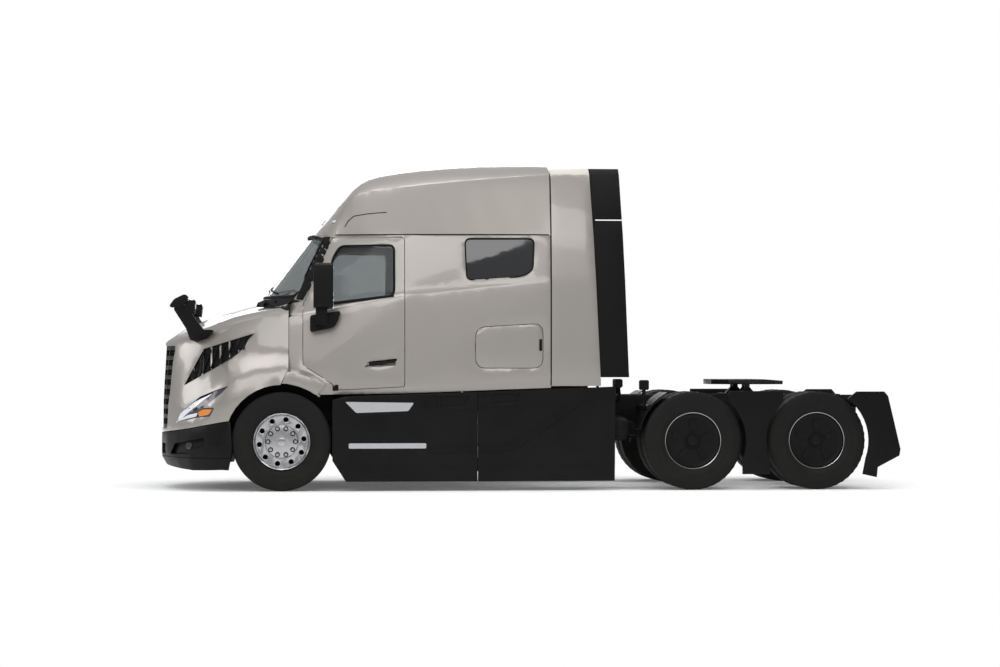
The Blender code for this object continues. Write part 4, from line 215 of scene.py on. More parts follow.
finish_tree("interior_trim", (0.030, 0.029, 0.028), (0.018, 0.018, 0.017), 0.80, 0.06, 5.0, 300.0, 0.5,
            settings=DULL)
finish_tree("seat_cloth", (0.045, 0.044, 0.046), (0.026, 0.026, 0.028), 0.90, 0.05, 8.0, 900.0, 0.9,
            settings=DULL)
finish_tree("cast_iron", (0.030, 0.029, 0.028), (0.016, 0.016, 0.015), 0.62, 0.10, 6.0, 120.0, 0.7,
            metallic=0.4, dust=0.08)
finish_tree("greased_steel", (0.040, 0.039, 0.037), (0.014, 0.014, 0.014), 0.36, 0.12, 8.0, 90.0, 0.5,
            metallic=0.7)
print(len(FINISHES), "finishes so far")

# %% [markdown]
# Cab glass is thin, green-grey and see-through: a little of the light passes and the rest is
# mirrored. The sleeper window is privacy glass, almost black. Lamps need a clear cover, white light
# bars and an amber block.
# %% Glass and lamp plastics
finish_tree("clear_glass", (0.62, 0.65, 0.65), (0.58, 0.61, 0.61), 0.03, 0.01, 1.5, 30.0, 0.01,
            settings={"Transmission Weight": 0.95, "IOR": 1.20})
finish_tree("dark_glass", (0.012, 0.0125, 0.0135), (0.010, 0.0105, 0.011), 0.05, 0.02, 1.5, 30.0, 0.01,
            settings={"Specular IOR Level": 0.9})
finish_tree("light_bar", (0.72, 0.73, 0.77), (0.60, 0.62, 0.68), 0.20, 0.05, 10.0, 300.0, 0.05, coat=0.5,
            settings={"Emission Color": (0.92, 0.94, 1.0, 1.0), "Emission Strength": 0.12})
finish_tree("amber_lens", (0.80, 0.30, 0.05), (0.66, 0.20, 0.03), 0.22, 0.05, 10.0, 300.0, 0.05, coat=0.5)
finish_tree("red_lens", (0.42, 0.012, 0.010), (0.30, 0.010, 0.008), 0.20, 0.05, 10.0, 300.0, 0.05, coat=0.5)
finish_tree("lamp_black", (0.060, 0.054, 0.074), (0.018, 0.016, 0.024), 0.22, 0.08, 9.0, 200.0, 0.1, coat=0.6)
finish_tree("mirror_glass", (0.80, 0.82, 0.84), (0.72, 0.74, 0.76), 0.04, 0.02, 3.0, 40.0, 0.01,
            metallic=1.0)
print(len(FINISHES), "finishes in all")

# %% [markdown]
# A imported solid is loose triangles, so its light would break at every one of them. A copy has its
# doubles merged and its flat faces joined. Panels also get a small rounded edge, because pressed and
# moulded parts never end in a knife edge.
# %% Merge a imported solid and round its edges
WELD = 0.00002
FLAT = math.radians(0.4)


def merged(node):
    """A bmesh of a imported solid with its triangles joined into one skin."""
    bm = bmesh.new()
    bm.from_mesh(frame["nodes"][node].data)
    bmesh.ops.remove_doubles(bm, verts=bm.verts, dist=WELD)
    bmesh.ops.dissolve_limit(bm, angle_limit=FLAT, verts=bm.verts, edges=bm.edges)
    return bm


def crease(bm, sharp_deg):
    """Smooth faces, with sharp edges where the surface turns by more than sharp_deg."""
    for face in bm.faces:
        face.smooth = True
    for edge in bm.edges:
        edge.smooth = edge.calc_face_angle(math.pi) < math.radians(sharp_deg)


def roomy(edge, width):
    """True if no edge at either end is too short for a bevel of this width."""
    near = set(edge.verts[0].link_edges) | set(edge.verts[1].link_edges)
    return all(other.calc_length() > width * 2.5 for other in near)


def eased_edges(bm, width, sharp_deg):
    """Rounds the sharp outer edges that have room for it."""
    chosen = [e for e in bm.edges if e.is_manifold and e.is_convex
              and e.calc_face_angle(0.0) > math.radians(sharp_deg) and roomy(e, width)]
    if chosen:
        bmesh.ops.bevel(bm, geom=chosen, offset=width, segments=2, profile=0.5, affect="EDGES",
                        clamp_overlap=True)
    return len(chosen)


print("welding within", WELD, "m")

# %% [markdown]
# A pressed panel is one flowing surface, but the solid under it has flat facets. The copy is cut
# into small triangles, and the direction in which each corner reflects is averaged with its
# neighbours a few times. Long edges count more than short ones, so that rounded edges stay crisp.
# The shape itself doesn't move, only the way the light runs over it.
# %% Even out how the light runs over a panel
FINE_EDGE = 0.055
LONGEST_SHARE = 0.05


def refined(bm, longest):
    """Cuts every face into triangles whose edges are no longer than this."""
    bmesh.ops.triangulate(bm, faces=bm.faces)
    for _ in range(6):
        long_edges = [e for e in bm.edges if e.calc_length() > longest]
        if not long_edges:
            break
        bmesh.ops.subdivide_edges(bm, edges=long_edges, cuts=1)
        bmesh.ops.triangulate(bm, faces=[f for f in bm.faces if len(f.verts) > 3])
        flat = [e for e in bm.edges if e.is_manifold and e.calc_face_angle(1.0) < FLAT]
        bmesh.ops.beautify_fill(bm, faces=bm.faces, edges=flat, method="ANGLE")


def flowing_normals(mesh, rounds):
    """Averages the reflecting direction of each corner over its smooth neighbours."""
    bm = bmesh.new()
    bm.from_mesh(mesh)
    bmesh.ops.split_edges(bm, edges=[e for e in bm.edges if not e.smooth])
    bm.verts.index_update()
    total = np.zeros((len(bm.verts), 3))
    for face in bm.faces:
        share = np.array(face.normal) * face.calc_area()
        for vert in face.verts:
            total[vert.index] += share
    total /= np.maximum(np.linalg.norm(total, axis=1, keepdims=True), 1e-12)
    ends = np.array([[v.index for v in e.verts] for e in bm.edges])
    weights = np.array([min(e.calc_length(), LONGEST_SHARE) for e in bm.edges])[:, None]
    own = np.zeros((len(total), 1))
    np.maximum.at(own, ends[:, 0], weights)
    np.maximum.at(own, ends[:, 1], weights)
    for _ in range(rounds):
        mixed = total * own * 2
        np.add.at(mixed, ends[:, 0], total[ends[:, 1]] * weights)
        np.add.at(mixed, ends[:, 1], total[ends[:, 0]] * weights)
        total = mixed / np.maximum(np.linalg.norm(mixed, axis=1, keepdims=True), 1e-12)
    corners = [total[v.index] for face in bm.faces for v in face.verts]
    bm.free()
    mesh.normals_split_custom_set(corners)


print("panels are cut to edges of", FINE_EDGE, "m")

# %% [markdown]
# Every piece is put on the body it moves with, and gets its finish.
# %% Put a piece on the tractor
BODY_OF = {child.name: body for body, empty in frame["bodies"].items() for child in empty.children}
SHARP, FLOWING_SHARP = 30, 50
PLAIN_SHARP, ROUND_SHARP = 35, 60


def as_mesh(bm, name):
    """Turns a bmesh into a mesh and frees it."""
    mesh = bpy.data.meshes.new(name)
    bm.to_mesh(mesh)
    bm.free()
    return mesh


def add_piece(bm, name, on, finish, sharp_deg=PLAIN_SHARP, flow=0, replaced=""):
    """Creases what was built in bm and puts it on the tractor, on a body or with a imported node."""
    crease(bm, sharp_deg)
    mesh = as_mesh(bm, name)
    if flow:
        flowing_normals(mesh, flow)
    mesh.materials.append(FINISHES[finish])
    piece = new_object(name, mesh)
    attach(piece, BODY_OF.get(on, on))
    if replaced:
        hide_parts(replaced)


def dress(node, finish, edge=0.0, flow=0):
    """A smooth, edge-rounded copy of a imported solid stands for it."""
    bm = merged(node)
    rounded_count = eased_edges(bm, edge, 40) if edge else 0
    if flow:
        refined(bm, FINE_EDGE)
    print(node, len(bm.faces), "faces,", rounded_count, "edges rounded")
    add_piece(bm, f"{node}_skin", node, finish, FLOWING_SHARP if flow else SHARP, flow, node)


PAINTED = ["hood_shell", "cab_shell", "sleeper_back", "roof_fairing"]
for side, _ in SIDES:
    PAINTED += [f"{name}_{side}" for name in ("sleeper_side", "door", "luggage_door", "side_extender")]
for node in PAINTED:
    dress(node, "body_paint", 0.003, 10)

# %% [markdown]
# Bumper, skirts, fairings, cowl and mirror shells are injection-moulded in black. Their edges are
# rounder than pressed metal, about four millimetres.
# %% Dress the mouldings
MOULDED = ["bumper", "cowl", "grille"]
for side, _ in SIDES:
    MOULDED += [f"{name}_{side}" for name in ("skirt_front", "skirt_rear", "tandem_fairing", "rear_fairing",
                                              "quarter_fender", "door_mirror", "hood_mirror")]
for node in MOULDED:
    dress(node, "black_plastic", 0.004, 5)

# %% [markdown]
# The frame, axles and couplings are rolled, forged or cast. They keep crisp edges with a trace of
# rounding, and each takes the finish of its process.
# %% Dress the ironwork and the glass
FORGED_EDGE = 0.002
IRONWORK = dict.fromkeys(("ladder_frame", "front_axle", "drive_axle_1", "drive_axle_2", "tie_rod",
                          "prop_shaft", "fifth_wheel_base"), "chassis_black")
IRONWORK |= {"engine": "cast_iron", "fifth_wheel_plate": "greased_steel", "windshield": "clear_glass"}
for side, _ in SIDES:
    IRONWORK |= {f"knuckle_{side}": "cast_iron", f"fuel_tank_{side}": "aluminium",
                 f"extender_rubber_{side}": "soft_rubber", f"door_window_{side}": "clear_glass",
                 f"sleeper_window_{side}": "dark_glass", f"headlamp_{side}": "lamp_black"}
for node, finish in IRONWORK.items():
    if finish in ("clear_glass", "dark_glass", "lamp_black"):
        dress(node, finish, flow=12)
    else:
        dress(node, finish, FORGED_EDGE)

# %% [markdown]
# A tyre is a turned section. The section is drawn once as radius and distance from the tyre's middle
# line: bead, sidewall with raised rings, shoulder, and a tread with straight rain grooves.
# %% Turn a section round the wheel's axis


def stitch(bm, rings, loop=False):
    """Joins each ring of corners to the next with faces; loop joins the last to the first as well."""
    made = []
    for near, far in zip(rings, rings[1:] + (rings[:1] if loop else [])):
        for k in range(len(near)):
            m = (k + 1) % len(near)
            corners = list(dict.fromkeys((near[k], near[m], far[m], far[k])))
            if len(corners) > 2:
                made.append(bm.faces.new(corners))
    return made


def circle(radius, count, a=0.0, b=0.0, squash=1.0):
    """Points of an outline evenly round (a, b)."""
    turns = [2 * math.pi * k / count for k in range(count)]
    return [(a + radius * math.cos(t), b + radius * squash * math.sin(t)) for t in turns]


def lathe(bm, profile, centre, closed=False, steps=96):
    """Turns (radius, y) points about a cross-wise axis; the profile ends on the axis or is closed."""
    x, z = centre
    rings = []
    for r, y in profile:
        if r == 0:
            rings.append([bm.verts.new((x, y, z))] * steps)
        else:
            rings.append([bm.verts.new((a, y, b)) for a, b in circle(r, steps, x, z)])
    bmesh.ops.recalc_face_normals(bm, faces=stitch(bm, rings, closed))


def tyre_section(middle):
    """Points round one tyre, mirrored about its middle line."""
    half = (
        # radius, distance from the middle, from the bead to the centre rib
        (0.2925, 0.104), (0.300, 0.112), (0.312, 0.114), (0.318, 0.119), (0.345, 0.132), (0.352, 0.1355),
        (0.356, 0.1355), (0.360, 0.1345), (0.392, 0.1395), (0.420, 0.1385), (0.424, 0.1392),
        (0.430, 0.1392), (0.434, 0.1380), (0.462, 0.1345), (0.480, 0.1320), (0.4860, 0.1300),
        (0.5000, 0.1270), (0.5105, 0.1190), (0.5150, 0.1120), (0.5160, 0.0840), (0.5020, 0.0820),
        (0.5020, 0.0740), (0.5165, 0.0720), (0.5168, 0.0340), (0.5020, 0.0320), (0.5020, 0.0240),
        (0.5168, 0.0220),
    )
    return [(r, middle + d) for r, d in half] + [(r, middle - d) for r, d in reversed(half)]


print("the section has", len(tyre_section(0.0)), "points")

# %% [markdown]
# What repeats round a wheel, such as tread lugs and nuts, is made by one small Geometry Nodes tree: a
# circle of points carries copies of one lug, each turned to face outwards. A second tree puts
# copies on given points. The copies are realized, so the result is one plain mesh.
# %% Trees of copies


def copies_tree(name, *inputs):
    """Starts a tree with named inputs; returns it with the outputs of its input node."""
    tree = bpy.data.node_groups.new(name, "GeometryNodeTree")
    for socket, kind in (("Geometry", "Geometry"), *inputs, ("Copy", "Object"), ("Finish", "Material")):
        tree.interface.new_socket(socket, in_out="INPUT", socket_type=f"NodeSocket{kind}")
    tree.interface.new_socket("Geometry", in_out="OUTPUT", socket_type="NodeSocketGeometry")
    return tree, add_node(tree, "NodeGroupInput")


def put_copies_on(tree, given, points, rotation):
    """Adds the node that puts the copy on each point."""
    copy = add_node(tree, "GeometryNodeObjectInfo", {"Object": given["Copy"]})
    return add_node(tree, "GeometryNodeInstanceOnPoints", {
        "Points": points, "Instance": copy["Geometry"], "Rotation": rotation})["Instances"]


def hand_out(tree, given, copies):
    """Realizes the copies and gives them their finish."""
    solid = add_node(tree, "GeometryNodeRealizeInstances", {"Geometry": copies})
    dressed = add_node(tree, "GeometryNodeSetMaterial", {
        "Geometry": solid["Geometry"], "Material": given["Finish"]})
    add_node(tree, "NodeGroupOutput", {"Geometry": dressed["Geometry"]})
    return tree


def ring_tree():
    tree, given = copies_tree("ring_of_copies", ("Count", "Int"), ("Radius", "Float"),
                              ("Start Angle", "Float"))
    ring = add_node(tree, "GeometryNodeMeshCircle", {"Vertices": given["Count"], "Radius": given["Radius"]})
    step = add_node(tree, "ShaderNodeMath", {0: 2 * math.pi, 1: given["Count"]}, operation="DIVIDE")
    index = add_node(tree, "GeometryNodeInputIndex")
    angle = add_node(tree, "ShaderNodeMath", {0: index[0], 1: step[0]}, operation="MULTIPLY")
    spin = add_node(tree, "ShaderNodeCombineXYZ", {"Z": angle[0]})
    copies = put_copies_on(tree, given, ring["Mesh"], spin[0])
    start = add_node(tree, "ShaderNodeCombineXYZ", {"Z": given["Start Angle"]})
    turned = add_node(tree, "GeometryNodeTransform", {"Geometry": copies, "Rotation": start[0]})
    return hand_out(tree, given, turned["Geometry"])


def points_tree():
    tree, given = copies_tree("copies_on_points", ("Turn", "Vector"))
    return hand_out(tree, given, put_copies_on(tree, given, given["Geometry"], given["Turn"]))


RING, ON_POINTS = ring_tree(), points_tree()


def run_tree(bm, tree, values, place=Matrix(), points=()):
    """Runs a Geometry Nodes tree with named inputs and adds its mesh, moved into place, to bm."""
    spots = bpy.data.meshes.new("spots")
    spots.from_pydata([tuple(p) for p in points], [], [])
    holder = new_object("holder", spots)
    modifier = holder.modifiers.new("copies", "NODES")
    modifier.node_group = tree
    for item in tree.interface.items_tree:
        if item.in_out == "INPUT" and item.name in values:
            modifier[item.identifier] = values[item.name]
    bpy.context.view_layer.update()
    mesh = bpy.data.meshes.new_from_object(holder.evaluated_get(bpy.context.evaluated_depsgraph_get()))
    bpy.data.objects.remove(holder, do_unlink=True)
    mesh.transform(place)
    bm.from_mesh(mesh)
    bpy.data.meshes.remove(mesh)


print("ring tree has", len(RING.nodes), "nodes, the other", len(ON_POINTS.nodes))

# %% [markdown]
# One copy is a small closed block, drawn round the point (0, 0, 0): x runs outwards from the wheel's
# centre, y runs round the wheel and z along the axle.
# %% Blocks to copy and the ring helper
PROTOTYPES = []


def loose_block(outline, low, high):
    """A block from an (x, y) outline between two z heights, as an object that copies can be made of."""
    bm = bmesh.new()
    below, above = [[bm.verts.new((x, y, z)) for x, y in outline] for z in (low, high)]
    stitch(bm, [below, above])
    bm.faces.new(list(reversed(below)))
    bm.faces.new(above)
    bmesh.ops.recalc_face_normals(bm, faces=bm.faces)
    block = new_object("copy", as_mesh(bm, "copy"))
    block.hide_render = True
    PROTOTYPES.append(block)
    return block


def ring_into(bm, block, count, radius, centre, y, sign, finish, start=0.0):
    """Adds a ring of copies to bm, with the ring's axis turned cross-wise at the wheel's centre."""
    values = {"Count": count, "Radius": radius, "Start Angle": start, "Copy": block,
              "Finish": FINISHES[finish]}
    across = Matrix.Rotation(math.radians(-90 * sign), 4, "X")
    run_tree(bm, RING, values, Matrix.Translation((centre[0], y, centre[1])) @ across)
    bmesh.ops.recalc_face_normals(bm, faces=bm.faces)


nut = loose_block(circle(0.0165, 6), 0.0, 0.030)
nut_seat = loose_block(circle(0.026, 12), 0.0, 0.0125)
print("one nut has", len(nut.data.polygons), "faces")

# %% [markdown]
# The steer tyre has straight ribs; the drive tyres have lugs across the tread for grip. Both are
# made from the same section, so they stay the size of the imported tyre.
# %% Steer tyres
for side, sign in SIDES:
    bm = bmesh.new()
    lathe(bm, tyre_section(sign * STEER_MIDDLE_Y), STEER_CENTRE, True)
    add_piece(bm, f"steer_tread_{side}", f"steer_tyre_{side}", "tyre_rubber", SHARP,
              replaced=f"steer_tyre_{side}")
print("steer tyres turned")

# %% [markdown]
# The steer rim is forged alloy, polished. Ten nuts stand on dark seats round the pilot. Both are made
# flat-sided, so nothing on them is smoothed.
# %% Steer rims
NUTS, NUT_RING, NUT_FACE_Y = 10, 0.1425, 1.1510


def nut_ring(block, name, side, sign, finish):
    bm = bmesh.new()
    ring_into(bm, block, NUTS, NUT_RING, STEER_CENTRE, sign * NUT_FACE_Y, sign, finish)
    add_piece(bm, f"steer_{name}_{side}", f"steer_rim_{side}", finish, 0)


for side, sign in SIDES:
    nut_ring(nut_seat, "nut_seats", side, sign, "chassis_black")
    dress(f"steer_rim_{side}", "polished_rim", FORGED_EDGE)
    nut_ring(nut, "nuts", side, sign, "polished_rim")
print("nuts per wheel:", NUTS)

# %% [markdown]
# Drive wheels carry two tyres side by side. Outside, a flat black cover hides the nuts; it has a
# round centre cap and a thin bright ring at the rim.
# %% Drive wheels
COVER_PROFILE = (
    (0.0, 1.184), (0.040, 1.184), (0.052, 1.181), (0.058, 1.172), (0.066, 1.172), (0.072, 1.178),
    (0.080, 1.178), (0.086, 1.166), (0.110, 1.163), (0.235, 1.160), (0.262, 1.164), (0.276, 1.172),
    (0.281, 1.172), (0.285, 1.164), (0.291, 1.184), (0.2915, 0.980), (0.270, 0.970), (0.262, 1.150),
    (0.0, 1.150))
BRIGHT_RING = ((0.2915, 1.180), (0.2915, 1.187), (0.297, 1.189), (0.302, 1.186), (0.302, 1.178))
DRIVE_WHEELS = [(f"{number}_{side}", sign, (x, AXLE_Z)) for number, x in enumerate(DRIVE_AXLE_XS, 1)
                for side, sign in SIDES]
for place, sign, centre in DRIVE_WHEELS:
    node = f"drive_wheel_{place}"
    bm = bmesh.new()
    for middle in DRIVE_MIDDLE_YS:
        lathe(bm, tyre_section(sign * middle), centre, True)
    add_piece(bm, f"drive_tread_{place}", node, "tyre_rubber", SHARP, replaced=node)
    for name, profile, closed, finish, sharp in (("cover", COVER_PROFILE, False, "black_plastic", SHARP),
                                                 ("bright_ring", BRIGHT_RING, True, "polished_rim", 40)):
        bm = bmesh.new()
        lathe(bm, [(r, sign * y) for r, y in profile], centre, closed)
        add_piece(bm, f"drive_{name}_{place}", node, finish, sharp)
print(len(DRIVE_WHEELS), "drive wheels turned")

# %% [markdown]
# Trim, seals and lamp parts lie on curved panels. Each is drawn as an outline in one view, from the
# side, the front or behind, and every point of it is then dropped onto the panels, so that the part
# follows the surface from all sides. A plate gets a front a little proud of the panel and a back
# sunk into it.
# %% Drop outlines onto the panels
VIEWS = {
    # from which side one looks: (direction to the viewer, the two drawn axes)
    "left": (Vector((0, -1, 0)), (0, 2)), "right": (Vector((0, 1, 0)), (0, 2)),
    "front": (Vector((-1, 0, 0)), (1, 2)), "back": (Vector((1, 0, 0)), (1, 2)),
}
START = 6.0
# A ray that slips through a gap meets the far side; what lies deeper than this is not meant
LEAST_DEPTH = {"left": 0.25, "right": 0.25, "front": 0.25, "back": -9.0}
SPIRAL = [(0.006 * n * math.cos(t), 0.006 * n * math.sin(t)) for n in range(1, 6) for t in range(6)]


def cover_of(*nodes, hull=False):
    """The panels of these nodes, for dropping points onto; hull closes the openings."""
    bm = bmesh.new()
    for node in nodes:
        bm.from_mesh(frame["nodes"][node].data)
    if hull:
        bmesh.ops.convex_hull(bm, input=bm.verts)
    tree = BVHTree.FromBMesh(bm)
    bm.free()
    return tree


def cast(cover, view, a, b, least=None):
    """Where a point seen at (a, b) starts, and where it meets the cover and with which slope."""
    out, (i, j) = VIEWS[view]
    point = out * START
    point[i], point[j] = a, b
    hit, slope, _, _ = cover.ray_cast(point, -out)
    if hit is not None and hit.dot(out) < (LEAST_DEPTH[view] if least is None else least):
        hit = None
    return point, hit, slope


def dropped(cover, view, a, b):
    """Where a point seen at (a, b) lies on the cover; in a gap, the depth comes from close beside it."""
    i, j = VIEWS[view][1]
    for da, db in [(0.0, 0.0)] + SPIRAL:
        hit = cast(cover, view, a + da, b + db)[1]
        if hit is not None:
            hit[i], hit[j] = a, b
            return hit
    return None


def pairs(points, closed):
    """Each point with the next one."""
    return list(zip(points, points[1:] + (points[:1] if closed else [])))


def densified(points, step, closed=True):
    """The same line with points no further apart than step."""
    result = []
    for (a0, b0), (a1, b1) in pairs(points, closed):
        count = max(1, math.ceil(math.hypot(a1 - a0, b1 - b0) / step))
        result += [(a0 + (a1 - a0) * k / count, b0 + (b1 - b0) * k / count) for k in range(count)]
    return result if closed else result + [points[-1]]


def rounded(points, radius, steps=4):
    """The outline with its corners rounded."""
    result = []
    for k, corner in enumerate(points):
        here = Vector(corner)
        before, after = Vector(points[k - 1]) - here, Vector(points[(k + 1) % len(points)]) - here
        cut = min(radius, before.length * 0.45, after.length * 0.45)
        start, end = here + before.normalized() * cut, here + after.normalized() * cut
        for s in range(steps + 1):
            t = s / steps
            result.append(tuple(start * (1 - t) ** 2 + here * 2 * t * (1 - t) + end * t ** 2))
    return result


def inside(point, ring):
    """True if the point is in the closed line."""
    x, y = point
    crossings = 0
    for (x0, y0), (x1, y1) in pairs(ring, True):
        if (y0 > y) != (y1 > y) and x < x0 + (x1 - x0) * (y - y0) / (y1 - y0):
            crossings += 1
    return crossings % 2 == 1


def flat_net(outline, step):
    """Points and triangles that fill an outline evenly."""
    ring = densified(list(outline), step)
    lows, highs = [min(c) for c in zip(*ring)], [max(c) for c in zip(*ring)]
    spots = []
    a = lows[0] + step / 2
    while a < highs[0]:
        b = lows[1] + step / 2
        while b < highs[1]:
            clear = min(math.hypot(a - p, b - q) for p, q in ring) > step * 0.45
            if clear and inside((a, b), ring):
                spots.append((a, b))
            b += step
        a += step
    loop = pairs(list(range(len(ring))), True)
    points, _, faces, *_ = delaunay_2d_cdt([Vector(p) for p in ring + spots], loop, [], 1, 1e-6)
    return points, faces


def skin(bm, outline, cover, view, lift, thick, step, least=None):
    """Adds a closed plate to bm that follows the cover under its outline."""
    out, (i, j) = VIEWS[view]
    points, faces = flat_net(outline, step)
    places = [cast(cover, view, a, b, least) for a, b in points]
    hits = [((point[i], point[j]), hit.dot(out)) for point, hit, _ in places if hit is not None]
    hits = hits or [((0.0, 0.0), 0.0)]
    front, back = [], []
    for point, hit, slope in places:
        if slope is None or slope.dot(out) < 0.1:
            slope = out
        if hit is None:
            a, b = point[i], point[j]
            depth = min(hits, key=lambda h: (h[0][0] - a) ** 2 + (h[0][1] - b) ** 2)[1]
            hit = point - out * (START - depth)
        front.append(bm.verts.new(hit + slope * lift))
        back.append(bm.verts.new(hit - slope * (thick - lift)))
    made, edges = [], set()
    for ids in faces:
        made.append(bm.faces.new([front[k] for k in ids]))
        made.append(bm.faces.new([back[k] for k in reversed(ids)]))
        edges |= set(pairs(ids, True))
    made += [bm.faces.new((front[q], front[p], back[p], back[q])) for p, q in sorted(edges)
             if (q, p) not in edges]
    bmesh.ops.recalc_face_normals(bm, faces=made)


def tube(bm, points, radius, flat=1.0, up=Vector((0, 0, 1)), facets=8, closed=False):
    """Adds a tube to bm along points; flat squeezes it along up, and its ends are capped."""
    count = len(points)
    rings = []
    for k, p in enumerate(points):
        if closed:
            along = Vector(points[(k + 1) % count]) - Vector(points[k - 1])
        else:
            along = Vector(points[min(k + 1, count - 1)]) - Vector(points[max(k - 1, 0)])
        along.normalize()
        aside = along.cross(up)
        aside = aside.normalized() if aside.length > 0.05 else along.orthogonal().normalized()
        high = aside.cross(along).normalized()
        rings.append([bm.verts.new(Vector(p) + aside * a + high * b)
                      for a, b in circle(radius, facets, squash=flat)])
    faces = stitch(bm, rings, closed)
    if not closed:
        faces += [bm.faces.new(rings[0]), bm.faces.new(rings[-1])]
    bmesh.ops.recalc_face_normals(bm, faces=faces)


def bead(bm, line, cover, view, radius, flat=0.5, sink=0.3, step=0.05, closed=False):
    """Adds a half-sunk bead that follows the cover along a drawn line."""
    out, _ = VIEWS[view]
    hits = [dropped(cover, view, a, b) for a, b in densified(list(line), step, closed)]
    points = [hit + out * (radius * flat * (1 - 2 * sink)) for hit in hits if hit is not None]
    tube(bm, points, radius, flat, out, 8, closed)


def side_skin(bm, outline, corner, cover, side, lift=0.003, thick=0.009, step=0.03):
    """A plate whose outline is measured behind the front axle, with rounded corners."""
    skin(bm, rounded(back_from_axle(outline), corner), cover, side, lift, thick, step)


def side_bead(bm, line, cover, side, *shape):
    """A bead whose line is measured behind the front axle."""
    bead(bm, back_from_axle(line), cover, side, *shape)


def eased_box(low, high, share, most=1.0, segments=2):
    """A box between two corners; its edges are rounded by a share of its shortest side."""
    bm = bmesh.new()
    bmesh.ops.create_cube(bm, size=1.0)
    size, middle = Vector(high) - Vector(low), (Vector(high) + Vector(low)) / 2
    for v in bm.verts:
        v.co = Vector((v.co.x * size.x, v.co.y * size.y, v.co.z * size.z)) + middle
    bmesh.ops.bevel(bm, geom=list(bm.edges), offset=min(min(size) * share, most), segments=segments,
                    affect="EDGES", clamp_overlap=True)
    return bm


def join(bm, spare):
    """Moves all of one bmesh into another."""
    mesh = as_mesh(spare, "joined")
    bm.from_mesh(mesh)
    bpy.data.meshes.remove(mesh)


def block(bm, low, high):
    """Adds an eased box between two corners."""
    join(bm, eased_box(low, high, 0.2, 0.008))


print("views to drop from:", ", ".join(VIEWS))

# %% [markdown]
# The headlamp is a dark, smoked housing. A white light guide runs up its upper edge, turns at the
# nose into a shorter lower leg, and an amber turn signal sits at the lower rear. Two small
# projector lenses stand in the dark middle.
# %% Headlamp parts
LIGHT_UPPER = ((-1.116, 0.703), (-1.057, 0.810), (-0.922, 0.921), (-0.716, 1.016), (-0.752, 0.989),
               (-0.816, 0.944), (-0.971, 0.820), (-1.047, 0.753))
LIGHT_LOWER = ((-1.111, 0.715), (-1.047, 0.755), (-0.975, 0.790), (-0.874, 0.815), (-0.892, 0.775),
               (-0.975, 0.755), (-1.080, 0.722))
AMBER = ((-0.868, 0.824), (-0.806, 0.852), (-0.722, 0.852), (-0.758, 0.796), (-0.860, 0.775))
PROJECTORS = ((-0.905, 0.862), (-0.835, 0.895))
PROJECTOR_RADIUS = 0.026
for side, _ in SIDES:
    node = f"headlamp_{side}"
    lamp = cover_of(node)
    bm = bmesh.new()
    for outline in (LIGHT_UPPER, LIGHT_LOWER):
        side_skin(bm, outline, 0.012, lamp, side)
    add_piece(bm, f"headlamp_light_{side}", node, "light_bar")
    bm = bmesh.new()
    side_skin(bm, AMBER, 0.010, lamp, side)
    add_piece(bm, f"headlamp_amber_{side}", node, "amber_lens")
    bm = bmesh.new()
    for x, z in back_from_axle(PROJECTORS):
        skin(bm, circle(PROJECTOR_RADIUS, 16, x, z), lamp, side, 0.002, 0.008, 0.02)
    add_piece(bm, f"headlamp_projectors_{side}", node, "dark_glass")
print("headlamp parts on both sides")

# %% [markdown]
# The engine-bay vent is a deep black pocket in the hood's side. Slanting louvres cross it, and a
# black liner covers its floor.
# %% Hood vents
VENT = ((-1.010, 1.112), (-0.530, 1.385), (-0.412, 1.482), (-0.360, 1.575), (-0.300, 1.636),
        (-0.523, 1.568), (-0.815, 1.474))
LOUVRES = 7
shell = cover_of("hood_shell")
for side, _ in SIDES:
    bm = bmesh.new()
    side_skin(bm, VENT, 0.015, shell, side, 0.015, 0.020)
    for k in range(LOUVRES):
        foot, head = -0.93 + 0.085 * k, -0.80 + 0.075 * k
        low, high = 1.165 + (foot + 0.93) * 0.58, 1.462 + (head + 0.80) * 0.33
        side_bead(bm, ((foot + 0.02, low + 0.02), (head - 0.02, high - 0.01)), shell, side, 0.009, 1.0, -1.0)
    add_piece(bm, f"hood_vent_{side}", "hood_shell", "black_plastic")
print("two vents with", LOUVRES, "louvres each")

# %% [markdown]
# Black trim covers the windscreen pillar outside, and a rubber seal runs round each side window.
# A wider belt seal wipes the lower edge of the door glass.
# %% Pillar trim and window seals
PILLAR = ((0.150, 2.003), (0.371, 2.535), (0.440, 2.668), (0.545, 2.662), (0.432, 2.400), (0.325, 2.185),
          (0.218, 1.992))
LEDGE = ((-0.280, 1.935), (-0.262, 1.985), (-0.190, 2.015), (0.140, 2.000), (0.205, 1.982), (0.060, 1.960),
         (-0.046, 1.936))
DOOR_WINDOW = ((0.510, 1.962), (0.520, 2.395), (0.548, 2.470), (0.610, 2.566), (1.170, 2.570), (1.170, 2.044))
BELT = ((0.520, 1.958), (1.165, 2.040))
SLEEPER_WINDOW = ((1.927, 2.202), (2.500, 2.240), (2.620, 2.300), (2.636, 2.640), (1.911, 2.640))
SCREEN = ((-0.880, 2.035), (0.880, 2.035), (0.800, 2.640), (0.450, 2.690), (-0.450, 2.690), (-0.800, 2.640))
SCREEN_FOOT = ((-0.880, 1.968), (0.880, 1.968), (0.870, 2.030), (-0.870, 2.030))
WINDOW_CORNER = 0.060
